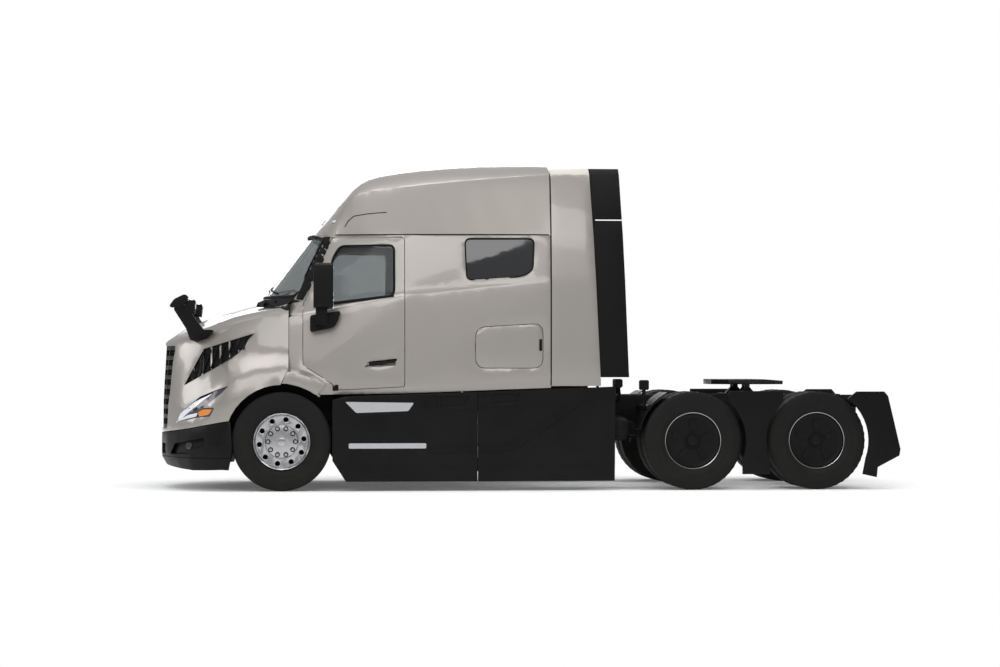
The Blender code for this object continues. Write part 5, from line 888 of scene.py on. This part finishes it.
for side, _ in SIDES:
    bm = bmesh.new()
    side_skin(bm, PILLAR, 0.012, cover_of("cab_shell", "windshield"), side, 0.007, 0.014)
    side_skin(bm, LEDGE, 0.010, cover_of("cab_shell", "cowl"), side, 0.006, 0.012)
    add_piece(bm, f"pillar_trim_{side}", "root", "black_plastic", flow=4)
    door = cover_of(f"door_{side}", f"door_window_{side}")
    bm = bmesh.new()
    bead(bm, rounded(back_from_axle(DOOR_WINDOW), WINDOW_CORNER), door, side, 0.011, 0.6, 0.2, 0.03, True)
    side_bead(bm, BELT, door, side, 0.014, 0.6, 0.1)
    add_piece(bm, f"door_seal_{side}", f"door_{side}", "soft_rubber", ROUND_SHARP)
    wall = cover_of(f"sleeper_side_{side}", f"sleeper_window_{side}")
    bm = bmesh.new()
    bead(bm, rounded(back_from_axle(SLEEPER_WINDOW), WINDOW_CORNER), wall, side, 0.007, 0.5, 0.2, 0.03, True)
    add_piece(bm, f"sleeper_seal_{side}", "root", "soft_rubber", ROUND_SHARP)
bm = bmesh.new()
screen = cover_of("windshield", "cab_shell")
bead(bm, rounded(SCREEN, WINDOW_CORNER), screen, "front", 0.016, 0.6, 0.2, 0.04, True)
add_piece(bm, "screen_seal", "root", "soft_rubber", ROUND_SHARP)
bm = bmesh.new()
skin(bm, SCREEN_FOOT, cover_of("cab_shell", "cowl"), "front", 0.005, 0.012, 0.04)
add_piece(bm, "ledge_cover", "root", "black_plastic", flow=4)
print("seals round five windows")

# %% [markdown]
# Five marker lamps look forward from pockets in the brow over the windscreen. Each is a clear wedge
# on a black foot.
# %% Marker lamps
MARKER_YS = (-0.74, -0.37, 0.0, 0.37, 0.74)


def upright(y0, y1, z0, z1):
    """A rectangle seen from the front or from behind."""
    y0, y1 = sorted((y0, y1))
    return [(y0, z0), (y1, z0), (y1, z1), (y0, z1)]


roof = cover_of("roof_fairing", "cab_shell")
feet, lenses = bmesh.new(), bmesh.new()
for y in MARKER_YS:
    for bm, half, z0, z1, lift in ((feet, 0.052, 2.814, 2.854, 0.004), (lenses, 0.040, 2.820, 2.850, 0.009)):
        skin(bm, rounded(upright(y - half, y + half, z0, z1), 0.010), roof, "front", lift, 0.006, 0.02)
add_piece(feet, "marker_feet", "root", "black_plastic")
add_piece(lenses, "marker_lenses", "root", "light_bar")
print(len(MARKER_YS), "marker lamps")

# %% [markdown]
# The door handle is a long black bar in a shallow black dish. Along its lower edge a bright
# aluminium strip is a painted highlight, standing in for the light caught under the handle.
# %% Door handles
DISH = ((0.862, 1.291), (0.888, 1.340), (0.948, 1.357), (1.074, 1.363), (1.101, 1.378), (1.196, 1.380),
        (1.180, 1.318), (1.088, 1.310), (0.941, 1.302))
BAR = ((0.905, 1.326), (1.000, 1.334), (1.090, 1.342), (1.180, 1.352))
# Line of the painted highlight under the handle
HANDLE_HIGHLIGHT = ((0.880, 1.296), (0.941, 1.305), (1.088, 1.313), (1.176, 1.321))
for side, _ in SIDES:
    node = f"door_{side}"
    door = cover_of(node)
    bm = bmesh.new()
    side_skin(bm, DISH, 0.008, door, side, 0.002, 0.008)
    side_bead(bm, BAR, door, side, 0.014, 0.9, -0.6, 0.04)
    add_piece(bm, f"door_handle_{side}", node, "black_plastic")
    # The bright strip under the handle is a painted highlight
    bm = bmesh.new()
    side_bead(bm, HANDLE_HIGHLIGHT, door, side, 0.004, 0.8, -0.4, 0.04)
    add_piece(bm, f"door_handle_strip_{side}", node, "aluminium")
print("handles on both doors")

# %% [markdown]
# Two entry steps cross the front skirt: a wide plate above and a narrow bar below, both bright
# aluminium with rows of raised grip studs, which the second tree puts on points dropped onto them.
# %% Steps
STEP_UPPER = ((0.658, 0.930), (1.374, 0.920), (1.315, 0.834), (0.772, 0.815))
STEP_LOWER = ((0.695, 0.444), (1.502, 0.444), (1.502, 0.498), (0.695, 0.498))
STEP_LIFT = 0.010
STUD_PLACES = [(0.800 + 0.0215 * k, z) for k in range(24) for z in (0.838, 0.866, 0.894)]
STUD_PLACES += [(0.72 + 0.0232 * k, 0.471) for k in range(34)]
stud = loose_block(circle(0.007, 8), -0.002, 0.0035)


def put_copies(bm, points, copy, side, finish="chassis_black"):
    """Adds copies of a prototype at points, facing the given side."""
    turn = (math.pi / 2 if side == "left" else -math.pi / 2, 0, 0)
    run_tree(bm, ON_POINTS, {"Copy": copy, "Turn": turn, "Finish": FINISHES[finish]}, points=points)


for side, _ in SIDES:
    skirt = cover_of(f"skirt_front_{side}")
    bm = bmesh.new()
    for outline in (STEP_UPPER, STEP_LOWER):
        side_skin(bm, outline, 0.014, skirt, side, STEP_LIFT, 0.016, 0.05)
    spots = [dropped(skirt, side, x, z) + VIEWS[side][0] * STEP_LIFT for x, z in back_from_axle(STUD_PLACES)]
    put_copies(bm, spots, stud, side, "aluminium")
    add_piece(bm, f"steps_{side}", "root", "aluminium", 40)
print("steps with", len(STUD_PLACES), "studs a side")

# %% [markdown]
# Each door mirror holds a tall flat glass and a small one below it, both with rounded corners and
# facing back to the driver. The hood mirror has one glass.
# %% Mirror glass
for side, sign in SIDES:
    low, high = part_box(f"door_mirror_{side}")
    outer = low.y if sign < 0 else high.y
    tall, small = [upright(outer - sign * 0.030, outer - sign * 0.215, z0, z1)
                   for z0, z1 in ((2.020, 2.335), (1.890, 2.000))]
    single = upright(sign * 0.830, sign * 0.990, 1.895, 2.010)
    for place, glasses, corner, shape in (("door_mirror", (tall, small), 0.025, (0.003, 0.009, 0.05)),
                                          ("hood_mirror", (single,), 0.035, (0.004, 0.010, 0.03))):
        node = f"{place}_{side}"
        bm = bmesh.new()
        for outline in glasses:
            skin(bm, rounded(outline, corner), cover_of(node), "back", *shape)
        add_piece(bm, f"{place}_glass_{side}", node, "mirror_glass")
print("three mirror glasses a side")

# %% [markdown]
# Two wiper arms spring from the cowl and lie along the foot of the windscreen, each with a rubber
# blade held by a thin bridge.
# %% Wipers
screen = cover_of("windshield", "cowl", "cab_shell")
FORWARD = VIEWS["front"][0]
WIPERS = (((-0.62, 1.985), (0.02, 2.120)), ((0.10, 1.985), (0.72, 2.120)))
for number, (foot, tip) in enumerate(WIPERS, 1):
    bm = bmesh.new()
    base = dropped(screen, "front", *foot) + FORWARD * 0.020
    top = dropped(screen, "front", *tip) + FORWARD * 0.024
    middle = (base + top) / 2 + FORWARD * 0.018
    arm = [base, (base + middle) / 2 + FORWARD * 0.008, middle, (middle + top) / 2, top]
    tube(bm, arm, 0.010, 0.6, FORWARD)
    blade = [dropped(screen, "front", foot[0] + 0.10 + 0.62 * t, 2.080 + 0.075 * t) + FORWARD * 0.012
             for t in (0, 0.2, 0.4, 0.6, 0.8, 1)]
    tube(bm, blade, 0.009, 1.2, FORWARD)
    add_piece(bm, f"wiper_{number}", "root", "soft_rubber", 50)
print(len(WIPERS), "wipers")

# %% [markdown]
# The drive wheels' covers have five raised pads between the centre cap and the rim, and the drive
# tyres have chunky shoulder lugs for grip in snow. Both repeat evenly round the wheel.
# %% Cover pads and tyre lugs
pad = loose_block(((0.0, -0.020), (0.085, -0.034), (0.115, -0.030), (0.124, 0.0), (0.115, 0.030),
                   (0.085, 0.034), (0.0, 0.020)), 0.0, 0.011)
shoulder_lug = loose_block(((-0.016, -0.014), (0.004, -0.014), (0.004, 0.014), (-0.016, 0.014)), -0.030, 0.0)
PADS_A_WHEEL, PAD_RING, COVER_FACE_Y = 5, 0.100, 1.1625
LUGS, LUG_RING, SHOULDERS = 44, 0.5125, (0.118, -0.088)
for place, sign, centre in DRIVE_WHEELS:
    bm = bmesh.new()
    ring_into(bm, pad, PADS_A_WHEEL, PAD_RING, centre, sign * COVER_FACE_Y, sign, "black_plastic", 0.3)
    add_piece(bm, f"drive_pads_{place}", f"drive_wheel_{place}", "black_plastic", SHARP)
    bm = bmesh.new()
    for middle in DRIVE_MIDDLE_YS:
        for shoulder in SHOULDERS:
            y = sign * (middle + shoulder)
            ring_into(bm, shoulder_lug, LUGS, LUG_RING, centre, y, sign, "tyre_rubber")
    add_piece(bm, f"drive_lugs_{place}", f"drive_wheel_{place}", "tyre_rubber", SHARP)
print("pads and lugs on", len(DRIVE_WHEELS), "drive wheels")

# %% [markdown]
# Inside, a moulded floor carries two sprung seats, and a bunk fills the sleeper's rear. The packed
# interior is one plain solid. Its floor is kept as it is, and everything above it is made again.
# %% Cab floor, seat feet and bunk box
SEAT_Y = 0.52
FLOOR_TOP = min(v.co.z for v in frame["nodes"]["cab_interior"].data.vertices) + 0.045


def cab_block(bm, x0, x1, y0, y1, z0, z1):
    """An eased box whose lengths are measured behind the front axle."""
    block(bm, (behind_axle(x0), y0, z0), (behind_axle(x1), y1, z1))


bm = merged("cab_interior")
bmesh.ops.bisect_plane(bm, geom=list(bm.verts) + list(bm.edges) + list(bm.faces), plane_co=(0, 0, FLOOR_TOP),
                       plane_no=(0, 0, 1), clear_outer=True)
bmesh.ops.holes_fill(bm, edges=[e for e in bm.edges if e.is_boundary])
for _, sign in SIDES:
    y = sign * SEAT_Y
    cab_block(bm, 1.00, 1.21, y - 0.13, y + 0.13, FLOOR_TOP - 0.01, 1.51)
    cab_block(bm, 0.90, 1.32, y - 0.20, y + 0.20, 1.45, 1.505)
cab_block(bm, 1.95, 2.66, -0.98, 0.98, FLOOR_TOP - 0.01, 1.480)
bmesh.ops.recalc_face_normals(bm, faces=bm.faces)
add_piece(bm, "cab_floor", "root", "interior_trim", SHARP, replaced="cab_interior")
print("floor top at", round(FLOOR_TOP, 3))

# %% [markdown]
# The dash is one long moulding with a hooded cluster in front of the driver. Its section is drawn
# from the side and run from door to door. The wheel is a padded rim on three spokes.
# %% Dash and steering wheel
DRIVER_Y = -SEAT_Y
DASH = ((0.205, 1.490), (0.205, 1.840), (0.270, 1.895), (0.420, 1.898), (0.500, 1.850), (0.515, 1.780),
        (0.470, 1.700), (0.455, 1.560), (0.400, 1.490))
HOOD = ((0.330, 1.850), (0.340, 1.965), (0.430, 1.990), (0.560, 1.950), (0.530, 1.930), (0.470, 1.840))
WHEEL_RADIUS, RIM_RADIUS = 0.215, 0.016


def run_across(bm, outline, low_y, high_y):
    """Adds a closed prism: an outline seen from the side, run from low_y to high_y."""
    near, far = [[bm.verts.new((x, y, z)) for x, z in back_from_axle(outline)] for y in (low_y, high_y)]
    made = [bm.faces.new(list(reversed(near))), bm.faces.new(far)] + stitch(bm, [near, far])
    bmesh.ops.recalc_face_normals(bm, faces=made)


bm = bmesh.new()
run_across(bm, rounded(DASH, 0.045), -0.83, 0.83)
run_across(bm, rounded(HOOD, 0.02), DRIVER_Y - 0.22, DRIVER_Y + 0.24)
for y in (-0.78, -0.16, 0.16, 0.74):
    cab_block(bm, 0.485, 0.524, y - 0.055, y + 0.055, 1.775, 1.835)
cab_block(bm, 0.26, 0.44, -0.20, 0.20, FLOOR_TOP, 1.55)
add_piece(bm, "dash", "root", "interior_trim", 40)
bm = bmesh.new()
cab_block(bm, 0.500, 0.508, DRIVER_Y - 0.15, DRIVER_Y + 0.15, 1.845, 1.930)
cab_block(bm, 0.498, 0.515, -0.13, 0.13, 1.700, 1.765)
add_piece(bm, "dash_screens", "root", "dark_glass", 40)

bm = bmesh.new()
hub = Vector((behind_axle(0.690), DRIVER_Y, 1.800))
lean = Matrix.Rotation(math.radians(28), 3, "Y")
column = lean @ Vector((0, 0, 1))
rim = [hub + lean @ Vector((a, b, 0)) for a, b in circle(WHEEL_RADIUS, 48)]
tube(bm, rim, RIM_RADIUS, 1.0, column, 10, True)
for turn in (90, 210, 330):
    a = math.radians(turn)
    tip = lean @ Vector((WHEEL_RADIUS * math.cos(a), WHEEL_RADIUS * math.sin(a), 0))
    tube(bm, [hub + tip * s for s in (0.10, 0.55, 0.98)], RIM_RADIUS, 0.45, column)
tube(bm, [hub + column * 0.02, hub, hub - column * 0.05], 0.062)
tube(bm, [hub - column * 0.04, hub - column * 0.26], 0.034)
add_piece(bm, "steering_wheel", "root", "soft_rubber", 50)
print("steering wheel", 2 * WHEEL_RADIUS, "m across")

# %% [markdown]
# A truck seat has a thick foam cushion and a tall back, sewn in channels. Each pad starts as a
# slightly small rounded block. Cloth with inner pressure swells it, the movement is capped, and then
# the sewn channels are pressed in. The bunk's mattress is made in the same way.
# %% Padded pieces
PADS = []
SWELL = 0.012
CLOTH_FRAMES = 20
CHANNEL_DEPTH, CHANNEL_WIDTH = 0.008, 0.014


def pad_start(name, xs, ys, zs, cut=0.018, tilt=0.0, foot=(0, 0, 0)):
    """A small rounded block, tilted about its foot and remeshed evenly, ready to swell."""
    low, high = [(behind_axle(x), y, z) for x, y, z in zip(xs, ys, zs)]
    bm = eased_box(low, high, 0.30, segments=3)
    if tilt:
        bmesh.ops.rotate(bm, verts=bm.verts, cent=foot, matrix=Matrix.Rotation(math.radians(tilt), 3, "Y"))
    piece = new_object(name, as_mesh(bm, name))
    remesh = piece.modifiers.new("remesh", "REMESH")
    remesh.mode, remesh.voxel_size = "VOXEL", cut
    bpy.context.view_layer.update()
    even = bpy.data.meshes.new_from_object(piece.evaluated_get(bpy.context.evaluated_depsgraph_get()))
    piece.modifiers.clear()
    piece.data = even
    PADS.append(piece)


def swell_all():
    """Cloth with pressure on all pads at once; no point moves further than SWELL."""
    for piece in PADS:
        cloth = piece.modifiers.new("cloth", "CLOTH")
        cloth.settings.use_pressure = True
        cloth.settings.uniform_pressure_force = 4.0
        cloth.settings.effector_weights.gravity = 0.0
    for f in range(1, CLOTH_FRAMES + 1):
        bpy.context.scene.frame_set(f)
    for piece in PADS:
        state = bpy.context.evaluated_depsgraph_get()
        swollen = [v.co.copy() for v in piece.evaluated_get(state).data.vertices]
        piece.modifiers.clear()
        for v, end in zip(piece.data.vertices, swollen):
            move = end - v.co
            v.co += move if move.length <= SWELL else move.normalized() * SWELL
    bpy.context.scene.frame_set(1)


def press_channels(piece, axis, places):
    """Sewn channels: points near each place along an axis are drawn towards the pad's middle."""
    middle = sum((v.co for v in piece.data.vertices), Vector()) / len(piece.data.vertices)
    for v in piece.data.vertices:
        pull = sum(math.exp(-((v.co[axis] - at) / CHANNEL_WIDTH) ** 2) for at in places)
        away = v.co - middle
        away[axis] = 0.0
        if away.length > 0.01:
            v.co -= away.normalized() * CHANNEL_DEPTH * min(pull, 1.0)


def pad_done(piece):
    """One subdivision, cloth finish, and the pad rides in the cab."""
    bm = bmesh.new()
    bm.from_mesh(piece.data)
    bmesh.ops.subdivide_edges(bm, edges=list(bm.edges), cuts=1, use_grid_fill=True, smooth=0.5)
    bmesh.ops.recalc_face_normals(bm, faces=bm.faces)
    for f in bm.faces:
        f.smooth = True
    bm.to_mesh(piece.data)
    bm.free()
    piece.data.materials.clear()
    piece.data.materials.append(FINISHES["seat_cloth"])
    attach(piece, "root")


BACK_TILT = 2.0
for side, sign in SIDES:
    y = sign * SEAT_Y
    pad_start(f"seat_cushion_{side}", (0.895, 1.300), (y - 0.235, y + 0.235), (1.508, 1.606))
    pad_start(f"seat_back_{side}", (1.232, 1.325), (y - 0.225, y + 0.225), (1.610, 2.060),
              tilt=BACK_TILT, foot=(behind_axle(1.28), y, 1.60))
    pad_start(f"seat_headrest_{side}", (1.255, 1.330), (y - 0.130, y + 0.130), (2.080, 2.235), 0.014)
pad_start("bunk_mattress", (1.925, 2.660), (-1.000, 1.000), (1.490, 1.625), 0.030)
swell_all()
# Along which axis the channels of a pad lie, and at which shares of its length
CHANNELS = {"back": (2, (0.22, 0.42, 0.62, 0.82)), "cushion": (0, (0.3, 0.5, 0.7))}
for piece in PADS:
    kind = piece.name.split("_")[1]
    if kind in CHANNELS:
        axis, shares = CHANNELS[kind]
        reach = [v.co[axis] for v in piece.data.vertices]
        press_channels(piece, axis, [min(reach) + (max(reach) - min(reach)) * s for s in shares])
    elif kind == "mattress":
        press_channels(piece, 1, (-0.66, -0.33, 0.0, 0.33, 0.66))
    pad_done(piece)
print(len(PADS), "padded pieces")

# %% [markdown]
# Thin seams, latches and small caps finish the side of the cab. A seam is a black bead sunk into the
# gap line; latches are small black plates. Behind each front wheel's upper half, a ribbed plate
# screens the engine from spray.
# %% Seams, latches, caps and splash plates
CAPS = (((0.528, 1.045), (0.588, 1.045), (0.588, 1.108), (0.528, 1.108)),
        ((2.880, 1.120), (2.940, 1.120), (2.940, 1.170), (2.880, 1.170)))
LATCH = ((2.686, 1.462), (2.716, 1.462), (2.716, 1.585), (2.686, 1.585))
SKIRT_CAP = ((2.040, 0.985), (2.160, 0.990), (2.160, 1.000), (2.040, 0.998))
ROOF_FOOT = ((0.659, 2.768), (0.692, 2.829), (0.752, 2.883), (0.900, 2.906), (1.094, 2.921))
ROOF_JOINT = ((0.560, 2.684), (1.200, 2.682), (2.000, 2.682), (2.790, 2.680))
EXTENDER_JOINT = ((2.812, 1.100), (2.812, 1.800), (2.812, 2.500), (2.812, 3.330))
SPLASH = ((-0.600, 0.725), (0.560, 0.725), (0.560, 0.968), (0.500, 1.065), (0.170, 1.095), (0.170, 1.160),
          (-0.600, 1.160))
SPLASH_YS = (0.545, 0.556)
RIB = 0.006
for side, sign in SIDES:
    wall = cover_of("cab_shell", f"sleeper_side_{side}", f"door_{side}", f"luggage_door_{side}", "hood_shell",
                    f"skirt_front_{side}", f"skirt_rear_{side}")
    bm = bmesh.new()
    for outline in CAPS:
        side_skin(bm, outline, 0.006, wall, side, 0.003, 0.010)
    add_piece(bm, f"side_caps_{side}", "root", "black_plastic")
    bm = bmesh.new()
    side_skin(bm, LATCH, 0.008, cover_of(f"luggage_door_{side}"), side, 0.004, 0.010)
    add_piece(bm, f"luggage_latch_{side}", f"luggage_door_{side}", "black_plastic")
    bm = bmesh.new()
    side_skin(bm, SKIRT_CAP, 0.003, wall, side, 0.012, 0.018)
    add_piece(bm, f"skirt_cap_{side}", "root", "black_plastic")
    roof = cover_of("roof_fairing", "cab_shell", f"sleeper_side_{side}")
    bm = bmesh.new()
    side_bead(bm, ROOF_FOOT, roof, side, 0.005, 0.5, 0.3, 0.04)
    side_bead(bm, ROOF_JOINT, roof, side, 0.006, 0.4, 0.3, 0.05)
    add_piece(bm, f"roof_seams_{side}", "root", "soft_rubber", ROUND_SHARP)
    bm = bmesh.new()
    rear = cover_of(f"side_extender_{side}", f"sleeper_side_{side}", "roof_fairing")
    side_bead(bm, EXTENDER_JOINT, rear, side, 0.007)
    add_piece(bm, f"extender_seam_{side}", "root", "soft_rubber", ROUND_SHARP)
    bm = bmesh.new()
    y0, y1 = sorted(sign * y for y in SPLASH_YS)
    run_across(bm, SPLASH, y0, y1)
    for k in range(4):
        x = 0.2 * k
        cab_block(bm, x - 0.50, x - 0.47, y0 - RIB, y1 + RIB, 0.76, 1.12)
    bmesh.ops.recalc_face_normals(bm, faces=bm.faces)
    add_piece(bm, f"inner_splash_{side}", "root", "black_plastic", SHARP)
print("seams, latches and splash plates on both sides")

# %% [markdown]
# The grille opening is closed by thin slats across the radiator's air path, and the bumper's corner
# pockets hold round fog lamps. The radiator's core is a plate with a row of thin tubes.
# %% Grille slats, fog lamps and radiator core
SLATS, SLAT_HALF = 15, 0.395
CORE_TUBES, CORE_X, CORE_HALF = 40, -3.6905, 0.385
grille = cover_of("grille", hull=True)
bm = bmesh.new()
for k in range(SLATS):
    line = [(-SLAT_HALF + 2 * SLAT_HALF * t / 8, 0.72 + 0.052 * k) for t in range(9)]
    bead(bm, line, grille, "front", 0.006, 0.8, 3.0, 0.06)
add_piece(bm, "grille_slats", "grille", "black_plastic", ROUND_SHARP)
nose = cover_of("bumper")
for side, sign in SIDES:
    bm = bmesh.new()
    skin(bm, circle(0.050, 20, sign * 0.86, 0.470, 0.68), nose, "front", 0.006, 0.012, 0.02)
    add_piece(bm, f"fog_lamp_{side}", "root", "dark_glass")
bm = bmesh.new()
block(bm, (-3.691, -0.400, 0.600), (-3.678, 0.400, 1.480))
for k in range(CORE_TUBES):
    tube(bm, [(CORE_X, y, 0.62 + 0.0215 * k) for y in (-CORE_HALF, 0.0, CORE_HALF)], 0.004, 0.8, facets=6)
add_piece(bm, "radiator_core", "root", "cast_iron", 40)
print(SLATS, "slats, two fog lamps and the radiator's core")

# %% [markdown]
# Behind the cab, air tanks, brake chambers, rubber air springs and torque arms hang on the frame,
# with hexagon bolts along both rails. Round parts with domed ends are drawn as one closed skin.
# %% Running gear
DOME = ((0.0, 0.02), (0.3, 0.62), (0.7, 0.93), (1.0, 1.0))
SPRING_PROFILE = ((0.0, 0.740), (0.085, 0.738), (0.098, 0.715), (0.100, 0.695), (0.090, 0.680),
                  (0.102, 0.660), (0.102, 0.630), (0.088, 0.610), (0.080, 0.520), (0.0, 0.515))
TANK_X, TANK_Z, TANK_RADIUS, STRAP_RADIUS = 0.965, 0.640, 0.115, 0.118
bolt = loose_block(circle(0.013, 6), -0.002, 0.011)
washer = loose_block(circle(0.019, 12), -0.002, 0.003)


def domed(bm, x0, y0, x1, y1, z, radius, dome=0.35):
    """Adds a lying tank between two points, with domed ends."""
    a, b = Vector((x0, y0, z)), Vector((x1, y1, z))
    along = (b - a).normalized()
    aside = along.orthogonal().normalized()
    high = along.cross(aside)
    inward = along * (radius * dome)
    spots = [(a + inward * t, radius * s) for t, s in DOME]
    spots += [(b - inward * t, radius * s) for t, s in reversed(DOME)]
    rings = [[bm.verts.new(p + aside * c + high * d) for c, d in circle(r, 24)] for p, r in spots]
    made = [bm.faces.new(rings[0]), bm.faces.new(rings[-1])] + stitch(bm, rings)
    bmesh.ops.recalc_face_normals(bm, faces=made)


rail = cover_of("ladder_frame")
for side, sign in SIDES:
    bm = bmesh.new()
    domed(bm, TANK_X, sign * 0.455, TANK_X, sign * 0.960, TANK_Z, TANK_RADIUS)
    for y in (0.56, 0.84):
        strap = [Vector((x, sign * y, z)) for x, z in circle(STRAP_RADIUS, 24, TANK_X, TANK_Z)]
        tube(bm, strap, 0.012, 0.4, Vector((0, 1, 0)), 6, True)
    for axle in DRIVE_AXLE_XS:
        domed(bm, axle - 0.36, sign * 0.350, axle - 0.14, sign * 0.350, 0.600, 0.078, 0.3)
        block(bm, (axle - 0.46, sign * 0.30 - 0.035, 0.455), (axle + 0.30, sign * 0.30 + 0.035, 0.505))
    add_piece(bm, f"air_tanks_{side}", "root", "chassis_black", 40)
    bm = bmesh.new()
    for axle in DRIVE_AXLE_XS:
        spare = bmesh.new()
        lathe(spare, SPRING_PROFILE, (0.0, 0.0), steps=24)
        bmesh.ops.rotate(spare, verts=spare.verts, matrix=Matrix.Rotation(math.radians(90), 3, "X"))
        bmesh.ops.translate(spare, verts=spare.verts, vec=(axle + 0.27, sign * 0.300, 0.0))
        join(bm, spare)
    add_piece(bm, f"air_springs_{side}", "root", "soft_rubber", 50)
    spots = [dropped(rail, side, -3.2 + 0.21 * k, z) for k in range(33) for z in (0.800, 0.930)]
    spots = [spot for spot in spots if spot is not None]
    bm = bmesh.new()
    for copy in (washer, bolt):
        put_copies(bm, spots, copy, side)
    add_piece(bm, f"rail_bolts_{side}", "root", "chassis_black", SHARP)
print("bolts along each rail:", len(spots))

# %% [markdown]
# Behind the cab stand two small work-lamp boxes on stalks, and the rear crossmember carries round
# red tail lamps with a clear reversing lamp between them.
# %% Rear lamps and boxes
REAR_MEMBER = 3.40
for side, sign in SIDES:
    bm = bmesh.new()
    inner, outer = sign * 0.91, sign * 1.06
    cab_block(bm, 3.523, 3.602, inner - 0.045, inner + 0.045, 1.076, 1.164)
    cab_block(bm, 3.764, 3.861, outer - 0.045, outer + 0.045, 1.050, 1.155)
    stalk = ((3.565, inner, 1.09), (3.575, sign * 0.90, 0.99), (3.590, sign * 0.70, 0.93),
             (3.600, sign * 0.42, 0.92))
    tube(bm, [(behind_axle(x), y, z) for x, y, z in stalk], 0.016)
    tube(bm, [(behind_axle(3.812), outer, 1.07), (behind_axle(3.812), outer, 0.880)], 0.020)
    add_piece(bm, f"stalk_boxes_{side}", "root", "black_plastic", 40)
    for name, finish, ys, radius, count in (("tail_lamps", "red_lens", (0.170, 0.340), 0.048, 20),
                                            ("reversing_lamp", "light_bar", (0.255,), 0.026, 16)):
        bm = bmesh.new()
        for y in ys:
            skin(bm, circle(radius, count, sign * y, 0.870), rail, "back", 0.010, 0.016, 0.03, REAR_MEMBER)
        add_piece(bm, f"{name}_{side}", "root", finish)
print("lamps and boxes behind the cab")

# %% [markdown]
# A photographer would stand this truck on a pale floor under one large overhead softbox, with weaker
# boxes at both sides. The floor takes the truck's shadow near the wheels and fades into plain white
# paper further out, and only what the camera or a reflection sees of the world is white.
# %% White surroundings that light nothing
FADE_START, FADE_END = 2.3, 3.6
FADE_SQUEEZE = (0.55, 1.0, 1.0)
FLOOR_GLOW = 0.10
WHITE, PAPER = (1.0, 1.0, 1.0, 1.0), (0.92, 0.92, 0.92, 1.0)
SKY, SKY_STRENGTH = (0.96, 0.97, 1.0, 1.0), 0.42
bm = bmesh.new()
bmesh.ops.create_grid(bm, x_segments=8, y_segments=8, size=60.0)
floor = new_object("floor", as_mesh(bm, "floor"))
floor.location.z = -0.001

paper = bpy.data.materials.new("floor_paper")
tree = emptied(paper)
rays = add_node(tree, "ShaderNodeLightPath")
seen = rays["Is Camera Ray"]
for name in ("Is Glossy Ray", "Is Transmission Ray"):
    seen = add_node(tree, "ShaderNodeMath", {0: seen, 1: rays[name]}, operation="MAXIMUM")[0]
place = add_node(tree, "ShaderNodeTexCoord")["Object"]
squeezed = add_node(tree, "ShaderNodeMapping", {"Vector": place, "Scale": FADE_SQUEEZE})["Vector"]
away = add_node(tree, "ShaderNodeVectorMath", {0: squeezed}, operation="LENGTH")["Value"]
far = add_node(tree, "ShaderNodeMapRange", {
    "Value": away, "From Min": FADE_START, "From Max": FADE_END})["Result"]
only_seen = add_node(tree, "ShaderNodeMath", {0: far, 1: seen}, operation="MULTIPLY")[0]
strength = add_node(tree, "ShaderNodeMath", {0: seen, 1: FLOOR_GLOW}, operation="MULTIPLY")[0]
matt = add_node(tree, "ShaderNodeBsdfDiffuse", {"Color": PAPER})[0]
glow = add_node(tree, "ShaderNodeEmission", {"Strength": strength})[0]
lit = add_node(tree, "ShaderNodeAddShader", {0: matt, 1: glow})[0]
white = add_node(tree, "ShaderNodeEmission")[0]
shown = add_node(tree, "ShaderNodeMixShader", {"Fac": only_seen, 1: lit, 2: white})[0]
add_node(tree, "ShaderNodeOutputMaterial", {"Surface": shown})
floor.data.materials.append(paper)

world = bpy.data.worlds.new("studio")
bpy.context.scene.world = world
tree = emptied(world)
direct = add_node(tree, "ShaderNodeLightPath")["Is Camera Ray"]
soft = add_node(tree, "ShaderNodeBackground", {"Color": SKY, "Strength": SKY_STRENGTH})[0]
bright = add_node(tree, "ShaderNodeBackground", {"Color": WHITE})[0]
choice = add_node(tree, "ShaderNodeMixShader", {"Fac": direct, 1: soft, 2: bright})[0]
add_node(tree, "ShaderNodeOutputWorld", {"Surface": choice})
print("the floor fades to white between", FADE_START, "and", FADE_END, "m from the middle")

# %% [markdown]
# The overhead box is the main light, so shoulders and roof edges are bright and the lower sides
# fall off, as on the real truck.
# %% Softboxes
AIM = Vector((0.0, 0.0, 1.4))


def softbox(name, place, size, power):
    lamp = bpy.data.lights.new(name, "AREA")
    lamp.shape = "RECTANGLE"
    lamp.size, lamp.size_y = size
    lamp.energy = power
    holder = new_object(name, lamp)
    holder.location = place
    holder.rotation_euler = (AIM - Vector(place)).to_track_quat("-Z", "Y").to_euler()


softbox("overhead", (0.0, -1.5, 9.0), (14.0, 8.0), 900.0)
softbox("left_fill", (-3.0, -13.0, 6.5), (13.0, 3.5), 400.0)
softbox("right_fill", (0.0, 13.0, 6.0), (12.0, 4.0), 320.0)
softbox("front_fill", (-13.0, 0.0, 5.0), (6.0, 3.0), 200.0)

# %% [markdown]
# The prototypes for copies have done their work and go.
# %% Clear up and finish
for helper in PROTOTYPES:
    bpy.data.objects.remove(helper, do_unlink=True)
